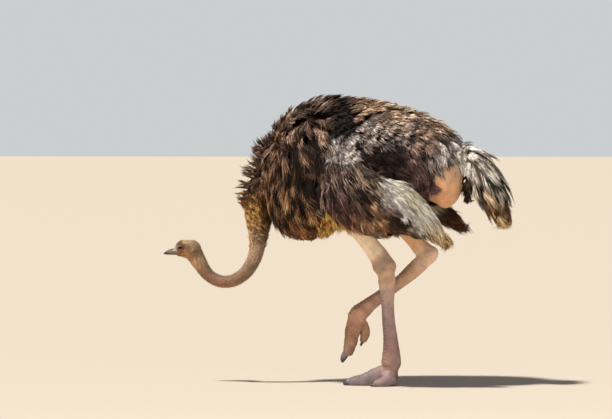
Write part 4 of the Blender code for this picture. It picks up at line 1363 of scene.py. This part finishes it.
# The ragged edges that hang from the breast and the wings, the breast's fringes painted bright orange as
# painted light from the sun shining through them and from the floor's warm bounce; and the long locks over
# the bare rump
HANGING = coat_table(
    (-170, 800, 40, 0.1, -1, 80, "fringe", 0.1, 204, 132, 66, 255, 190, 106),
    (-120, 800, 25, 0.12, -1, 80, "fringe", 0.1, 204, 136, 72, 255, 198, 124),
    (-245, 760, 30, 0.1, -1, 45, "fringe", 0.2, 130, 80, 38, 250, 170, 92),
    (-330, 710, 30, 0.08, -1, 24, "fringe", 0.4, 16, 10, 7, 96, 64, 42),
    (-420, 710, 40, 0.05, -1, 22, "fringe", 0.4, 14, 9, 7, 70, 47, 33),
    (-490, 1140, 50, 0.05, -1, 90, "tufts", 0.3, 9, 6, 5, 116, 86, 68),
    (270, 1090, 30, 0.25, -0.97, 110, "streamer", 0.8, 18, 14, 13, 186, 174, 168),
    (220, 1040, 30, 0.3, -0.95, 90, "streamer", 0.5, 14, 11, 11, 120, 100, 96),
    (340, 1090, 30, 0.4, -0.92, 70, "soft", 0, 200, 186, 170, 254, 246, 236),
)
# Pale shafts of the wing's long feathers, fanning back from the shoulder
SHAFTS = coat_table(
    (-170, 1050, 40, 0.4, -0.92, 110, 112, 94, 81, 185, 161, 136),
    (-80, 1030, 40, 0.68, -0.73, 140, 112, 94, 81, 194, 170, 142),
    (-50, 950, 40, 0.7, -0.71, 120, 103, 82, 67, 179, 151, 121),
    (-140, 920, 50, 0.5, -0.86, 120, 60, 44, 37, 104, 82, 69),
    all_are=("shaft", 0.2),
)
# Fine down on the bare-looking neck and head, close and short
NECK_DOWN = coat_table(
    (-600, 700, 30, 0, 1, 14, 136, 109, 84, 194, 160, 123),
    (-610, 600, 30, 0.1, 1, 12, 142, 112, 93, 211, 178, 146),
    (-650, 525, 30, 0.75, 0.65, 11, 138, 109, 90, 222, 191, 162),
    (-730, 485, 30, 1, 0, 11, 142, 111, 90, 224, 191, 159),
    (-800, 500, 30, 0.95, -0.3, 11, 138, 109, 88, 220, 186, 155),
    (-845, 540, 30, 0.65, -0.75, 10, 119, 99, 82, 197, 174, 148),
    (-875, 590, 30, 0.5, -0.87, 7, 108, 89, 71, 168, 145, 117),
    all_are=("down", 0.1),
)
HEAD_DOWN = coat_table(
    (-930, 676, 14, 1, 0.05, 7, 200, 173, 142, 234, 212, 176),
    (-965, 665, 10, 0.9, 0.45, 5, 84, 60, 41, 138, 103, 74),
    (-957, 655, 6, 0.6, 0.75, 6, 38, 26, 18, 72, 49, 33),
    (-895, 655, 14, 0.75, -0.65, 7, 166, 138, 110, 210, 185, 149),
    (-935, 640, 8, 0.95, -0.2, 4, 131, 99, 74, 179, 144, 105),
    (-900, 632, 6, 0.9, -0.4, 4, 225, 180, 126, 241, 204, 156),
    (-887, 625, 6, 0.6, -0.8, 6, 124, 100, 81, 182, 156, 127),
    (-925, 645, 10, 0.95, -0.2, 4, 90, 65, 45, 131, 97, 68),
    (-925, 605, 12, 0.85, -0.5, 5, 187, 134, 95, 227, 183, 136),
    all_are=("down", 0.1),
)
trunk_form = Ground(outline(TRUNK_ROWS), 84, 72, **TRUNK_CUT)
neck_form = Ground([(x, 0.0, z, h, w) for x, z, h, w, _ in NECK_MASS], 240, 40)


def tapered(rows, start, least):
    """Rows drawn in towards their end, where long free tips make up the outline."""
    kept = 1 - (1 - least) * ease(start, 1.0, np.linspace(0, 1, len(rows)))
    return [(x, y, z, high * k, wide * k) for (x, y, z, high, wide), k in zip(rows, kept)]


wing_forms = {}
for word, side in SIDES:
    wing_rows = tapered(WING_ARM + WING_TRAIL[word], 0.55, 0.6)
    wing_forms[word] = Ground(mirrored(wing_rows, side), 70, 36, power=2.2, domes=(0.040, 0.010))
tail_form = Ground(tapered(TAIL_ROWS, 0.3, 0.6), 60, 40, power=2.1, domes=(0, 0.010))
tuft_form = Ground(tapered(TUFT_ROWS, 0.4, 0.5), 20, 20, domes=(0.008, 0.006))


def clean_form(bm):
    clean(bm)
    return creases(bm)


def cover_reach(p):
    """How far from a crease the plumage is rounded: less at the tail than in front."""
    return np.where(p[:, 0] > 0.25, 0.04, 0.085)


def plumage_cover():
    """The body's plumage as one form, rounded over where neck, wings and tail join the trunk."""
    arms = [
        tube(mirrored(WING_ARM + WING_TRAIL[word][:1], side), 40, 32, power=2.2, domes=(0.04, 0.03))[:2]
        for word, side in SIDES
    ]
    arms = [make_mesh("arm_form", *arm) for arm in arms]
    forms = [make_mesh("form", form.points, form.faces) for form in (trunk_form, neck_form, tail_form)]
    whole = join_all(forms + arms, "plumage_form")
    ends, seams = edit_mesh(whole.data, clean_form)
    points, faces = mesh_arrays(whole.data)
    bpy.data.objects.remove(whole)
    points = round_over(points, faces, ends, seams, cover_reach, rounds=40, thinning=0.002)
    return Cover(points, faces)


body_cover = plumage_cover()


def blend_places(table, roots):
    """What the coat is like at each root, blended between the places of a table."""
    at = own(roots)
    # along the top of the back the borders wander, and draw forward at the middle
    x, y, z = at.T
    top = np.clip(1 - np.abs(y) / 0.27, 0, 1) * ease(1.16, 1.24, z) * ease(-0.45, -0.35, x)
    at[:, 0] += top * (0.035 + 0.05 * waves(roots, 0.10, 31) + 0.035 * waves(roots, 0.035, 32))
    values = place_tones(table, at, 1.35)
    look = {name: values[:, k] for k, name in enumerate(COLUMNS)}
    return look | {"root": values[:, -6:-3], "tip": values[:, -3:]}


def grow(
    name, ground, places, feathers, seed, material="plumage", per=6, weigh=None,
    clear=(), step=0.20, locks=5, side_pull=0.25, pieces=1, hair=False, cover=None, over=None, mess=1.0,
    until=1.0, vary=0.10,
):
    """Feathers over a ground: each is a few tufts fanned side by side, laid along the flow of its place."""
    chance = np.random.default_rng(seed)
    roots, facing, cells = ground.sample(feathers, chance, weigh)
    keep = cells[:, 0] < until
    for other, margin in clear:
        keep &= other.depth(roots) < margin
    covered = np.zeros(len(roots), bool)
    if cover is not None:
        near, way = cover.nearest(roots)
        covered = np.ones(len(roots), bool) if over is None else over(own(roots))
        keep &= ~covered | (np.linalg.norm(near - roots, axis=1) < ON_COVER)
        roots = np.where(covered[:, None], near, roots)
        facing = np.where(covered[:, None], way, facing)
    roots, facing, cells, covered = roots[keep], facing[keep], cells[keep], covered[keep]
    look = blend_places(places, roots)
    count = len(roots)
    # each feather has its own height, lightness and bend; a feather that stands higher is painted lighter and
    # one that lies lower darker, as painted light and shade
    rise = chance.normal(0, 1, count) * look["layer"]
    mottle = look["mottle"]
    bright = np.exp(chance.normal(0, 0.8, count) * mottle + 0.6 * mottle * rise / look["layer"])
    # pale feathers are partly the plumage's own streaks and partly painted highlight, and the rest are
    # darkened partly as painted shade between lit locks
    streak = look["streak"]
    streak_and_highlight = chance.random(count) < STREAK_AND_HIGHLIGHT_SHARE - 0.10 * streak
    bright *= np.where(streak_and_highlight, 1 + 1.25 * streak, 1 - 0.94 * streak)
    look["tip"] = look["tip"] * np.clip(bright, 0.05, 2.9)[:, None]
    look["root"] = look["root"] * np.clip(bright, 0.4, 1.5)[:, None]
    free = chance.random(count) < LOOSE
    look["stiff"] = np.where(free, np.minimum(look["stiff"] + 0.2, 1.0), look["stiff"])
    look["proud"] = look["proud"] + np.where(free, 0.10, 0.0) * look["length"]
    swirl = 0.36 * waves(roots, 0.13, seed + 50) + 0.24 * waves(roots, 0.05, seed + 51)
    swirl = (swirl + chance.normal(0, 0.14, count)) * np.clip(look["stray"], 0.3, 1.5) * mess
    phase = chance.uniform(0, 6.28, count)
    sideways = side_pull * np.sign(roots[:, 1]) * np.clip(facing[:, 2], 0, 1)
    flow = np.stack([look["flow_x"], sideways, look["flow_z"] - SAG], 1)
    away = dot(flow, facing)
    flow = unit(flow - (0.9 * (1 - hanging(look["stiff"], away)) * away)[:, None] * facing)
    # fan the tufts of one feather about its root
    at = np.repeat(np.arange(count), per)
    place = np.tile(np.arange(per) - (per - 1) / 2, count)
    look = {key: value[at] for key, value in look.items()}
    look["tip"] = look["tip"] * np.exp(chance.normal(0, 0.5, len(at)) * look["mottle"])[:, None]
    turn = swirl[at] + place * step * look["fan"] + chance.normal(0, 0.05, len(at))
    out = facing[at]
    across = np.cross(out, flow[at])
    heading = unit(flow[at] * np.cos(turn)[:, None] + across * np.sin(turn)[:, None])
    shift = place * look["half"] * look["apart"]
    start = roots[at] + unit(across) * shift[:, None]
    edge = (place / max((per - 1) / 2, 1)) ** 2
    arc = 1 - (0.10 + 0.30 * look["fan"]) * edge
    look["length"] = look["length"] * arc * np.clip(1 + chance.normal(0, vary, len(at)), 0.35, 1.4)
    look["proud"] = look["proud"] - 0.004 * edge + chance.normal(0, 0.0012, len(at))
    lines, outs = np.empty((2, len(at), 4, 3))
    for group, form in ((~covered[at], ground), (covered[at], cover)):
        if group.any():
            own_look = [look[key][group] for key in ("length", "sink", "proud", "stiff")]
            lines[group], outs[group] = lay_along(form, start[group], out[group], heading[group], *own_look)
    draw = roots[at] - start
    draw -= dot(draw, heading)[:, None] * heading
    side = unit(np.cross(out, heading))
    for k, u in enumerate(THIRDS):
        lines[:, k] += draw * (look["clump"] * u**1.3)[:, None]
        lines[:, k] += outs[:, k] * (rise[at] * u**1.2)[:, None]
        lines[:, k] += side * (look["wave"] * u * np.sin(phase[at] + 5.0 * u))[:, None]
    lines = hold_within(lines)
    made, finish = [], MATERIALS[material]
    for k, part in enumerate(np.array_split(np.arange(len(at)), pieces)):
        cut = {key: value[part] for key, value in look.items()}
        title = name if pieces == 1 else f"{name}_{k + 1}"
        spray = lines[part], outs[part], cut, cells[at[part]]
        piece = build_locks(title, *spray, finish, chance, locks, hair)
        made.append(piece)
    return made


def within(value, low, high):
    return (value > low) & (value < high)


def on_shoulder(p):
    """Where the wing lies against the trunk, and its feathers lie on the whole body's form."""
    return p[:, 0] < -0.11


def feathered(p, n):
    """Where the trunk has feathers: not on the bare rump, nor where the neck, thighs and tail leave it."""
    x, _, z = p.T
    border = x + np.where(z > 0.95, 0.30, -0.55) * (z - 0.95)
    bare = ease(0.235, 0.26, border) * (1 - ease(1.060, 1.085, z))
    denser = 1 + 0.4 * (x < -0.25)
    under = np.where(n[:, 2] < -0.75, 0.45, 1.0)
    return np.maximum(1 - bare, 0) * denser * under


grow(
    "coat_trunk", trunk_form, TRUNK_COAT, feathers=1880, seed=100, weigh=feathered, pieces=5,
    clear=((wing_forms["left"], 0.022), (wing_forms["right"], 0.022), (neck_form, 0.03), (tail_form, 0.02)),
    cover=body_cover, over=lambda p: (p[:, 0] < -0.02) | (p[:, 2] > 1.08),
)
for word, side in SIDES:
    table, feathers = (WING_COAT, 630) if word == "left" else (FAR_WING_COAT, 430)
    wing_coat = grow(
        "coat_wing_" + word, wing_forms[word], table, feathers, seed=200 + side,
        weigh=lambda p, n, s=side: np.where(n[:, 1] * s > -0.2, 1.0, 0.4), clear=((trunk_form, 0.02),),
        step=0.16, side_pull=0.0, pieces=2, cover=body_cover, over=on_shoulder, mess=0.6, until=0.95,
    )
    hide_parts("wing_" + word)
    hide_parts("wing_plumes_" + word)
tail_coat = grow(
    "coat_tail", tail_form, TAIL_COAT, feathers=210, seed=300,
    clear=((trunk_form, 0.01),), step=0.14, side_pull=0.3, mess=0.7, until=0.95,
)
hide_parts("tail")
tuft_coat = grow(
    "coat_tail_tuft", tuft_form, TUFT_COAT, feathers=40, seed=310, step=0.10, side_pull=0.0, mess=0.4,
    until=0.85,
)
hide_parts("tail_tuft")
grow(
    "coat_neck", neck_form, NECK_COAT, feathers=620, seed=400, per=3, step=0.25, cover=body_cover,
    weigh=lambda p, n: ease(0.84, 0.90, p[:, 2]), clear=((trunk_form, 0.02),),
)
grow(
    "coat_neck_fuzz", neck_form, NECK_COAT, feathers=1500, seed=405, per=4, locks=6, hair=True, mess=0.9,
    step=0.3, vary=0.2, clear=((trunk_form, 0.01),), cover=body_cover,
    weigh=lambda p, n: ease(0.60, 0.80, p[:, 2]) * (1 - ease(0.87, 0.93, p[:, 2])) * (p[:, 0] > -0.75),
)
grow(
    "coat_neck_quills", neck_form, QUILLS, feathers=130, seed=410, per=2, cover=body_cover, mess=1.3,
    vary=0.4,
    weigh=lambda p, n: (p[:, 2] > 0.83) * ease(-0.44, -0.54, p[:, 0]) * (0.3 + (n[:, 0] < -0.2)),
    clear=((trunk_form, 0.02),),
)


def outer_face(side):
    """Picks the middle of a wing's outer face, where the shafts show."""
    return lambda p, n: (n[:, 1] * side > 0.2) & within(p[:, 0], -0.22, -0.03) & within(p[:, 2], 0.88, 1.09)


def edged(p, n):
    """Where the coat hangs over an edge: over the rump, over the breast's parting, and along the belly."""
    x, _, z = p.T
    upper = ((x > 0.2) & within(z, 1.03, 1.13)) | ((x < -0.44) & within(z, 1.05, 1.23))
    above_hem = z - np.where(x > -0.27, 0.77, 0.70)
    fringe = 3.0 * (x < -0.09) * (0.3 + (x > -0.29)) * (1 - ease(0.04, 0.09, above_hem))
    return np.where(z > 0.9, upper, fringe)


grow(
    "coat_edges", trunk_form, HANGING, feathers=520, seed=420, per=3, cover=body_cover, step=0.15,
    weigh=edged, clear=((neck_form, 0.0), (tail_form, 0.0)),
)
for word, side in SIDES:
    grow(
        "wing_shafts_" + word, wing_forms[word], SHAFTS, feathers=150, seed=600 + side, per=1, locks=1,
        side_pull=0.0, mess=0.5, cover=body_cover, over=on_shoulder,
        weigh=outer_face(side),
    )
skin_cover = Cover(*mesh_arrays(skin.data))
grow(
    "down_neck", Ground(under_coat(NECK_MASS), 200, 36), NECK_DOWN, feathers=3600, seed=500,
    material="down", per=1, hair=True, cover=skin_cover, mess=1.2,
    weigh=lambda p, n: (1 - ease(0.70, 0.80, p[:, 2])) * (p[:, 0] > -0.885),
)


def off_eye_and_bill(p, n):
    """The head's down keeps clear of the eyes' openings and of the bill."""
    from_eye = np.hypot(p[:, 0] - EYE[0], (p[:, 2] - EYE[2]) * 1.2)
    return (from_eye > 0.0125) * ease(-0.984, -0.974, p[:, 0])


grow(
    "down_head", Ground(outline(HEAD_ROWS), 92, 96, **HEAD_CUT), HEAD_DOWN, feathers=3200, seed=510,
    material="down", per=1, hair=True, cover=skin_cover, weigh=off_eye_and_bill,
)

# ---------------------------------------------------------------- floor, light and camera

bpy.ops.object.select_all(action="DESELECT")
bpy.ops.mesh.primitive_plane_add(size=420, location=(0, 0, 0))
floor = bpy.context.object
floor.name = "floor"
ground_material, tree, shader = new_material("pale_floor")
feed(tree, shader, Base_Color=(*tone(192, 181, 166), 1), Roughness=0.9)
floor.data.materials.append(ground_material)

world = bpy.data.worlds.new("studio")
bpy.context.scene.world = world
world.use_nodes = True
sky = world.node_tree
fill_sky = feed(sky, sky.nodes["Background"], Color=(0.90, 0.94, 1.0, 1), Strength=0.22)
seen_sky = feed(sky, node(sky, "Background"), Color=(0.60, 0.62, 0.63, 1))
seen = node(sky, "LightPath").outputs["Is Camera Ray"]
choose = feed(sky, node(sky, "MixShader"), i0=seen, i1=fill_sky.outputs[0], i2=seen_sky.outputs[0])
feed(sky, sky.nodes["World Output"], Surface=choose.outputs[0])


def set_up(name, data, at, towards):
    """A lamp or camera at a place, turned towards another."""
    made = bpy.data.objects.new(name, data)
    made.location = at
    made.rotation_euler = (Vector(towards) - Vector(at)).to_track_quat("-Z", "Y").to_euler()
    bpy.context.scene.collection.objects.link(made)
    return made


def new_lamp(name, kind, power, colour):
    lamp = bpy.data.lights.new(name, kind)
    lamp.energy, lamp.color = power, colour
    return lamp


fill = new_lamp("fill", "AREA", 60, (1.0, 0.97, 0.94))
fill.size = 4.0
set_up("fill", fill, (1.5, -5.5, 2.2), (0, 0, 0.7))
sun = new_lamp("key", "SUN", 5.4, (1.0, 0.955, 0.88))
sun.angle = math.radians(5)
set_up("key", sun, (0, 0, 0), (0.36, 0.36, -1.0))

AROUND = math.radians(7)  # the camera stands a little behind the bird's side
FAR = 15  # and this many metres off
camera = bpy.data.cameras.new("camera")
camera.lens = 189.7
camera.sensor_width = 36
camera.clip_end = 600
stand = (AHEAD + FAR * math.sin(AROUND), -FAR * math.cos(AROUND), 1.144)
bpy.context.scene.camera = set_up("camera", camera, stand, (-0.367 + AHEAD, 0, 0.821))
bpy.context.scene.view_settings.view_transform = "Standard"
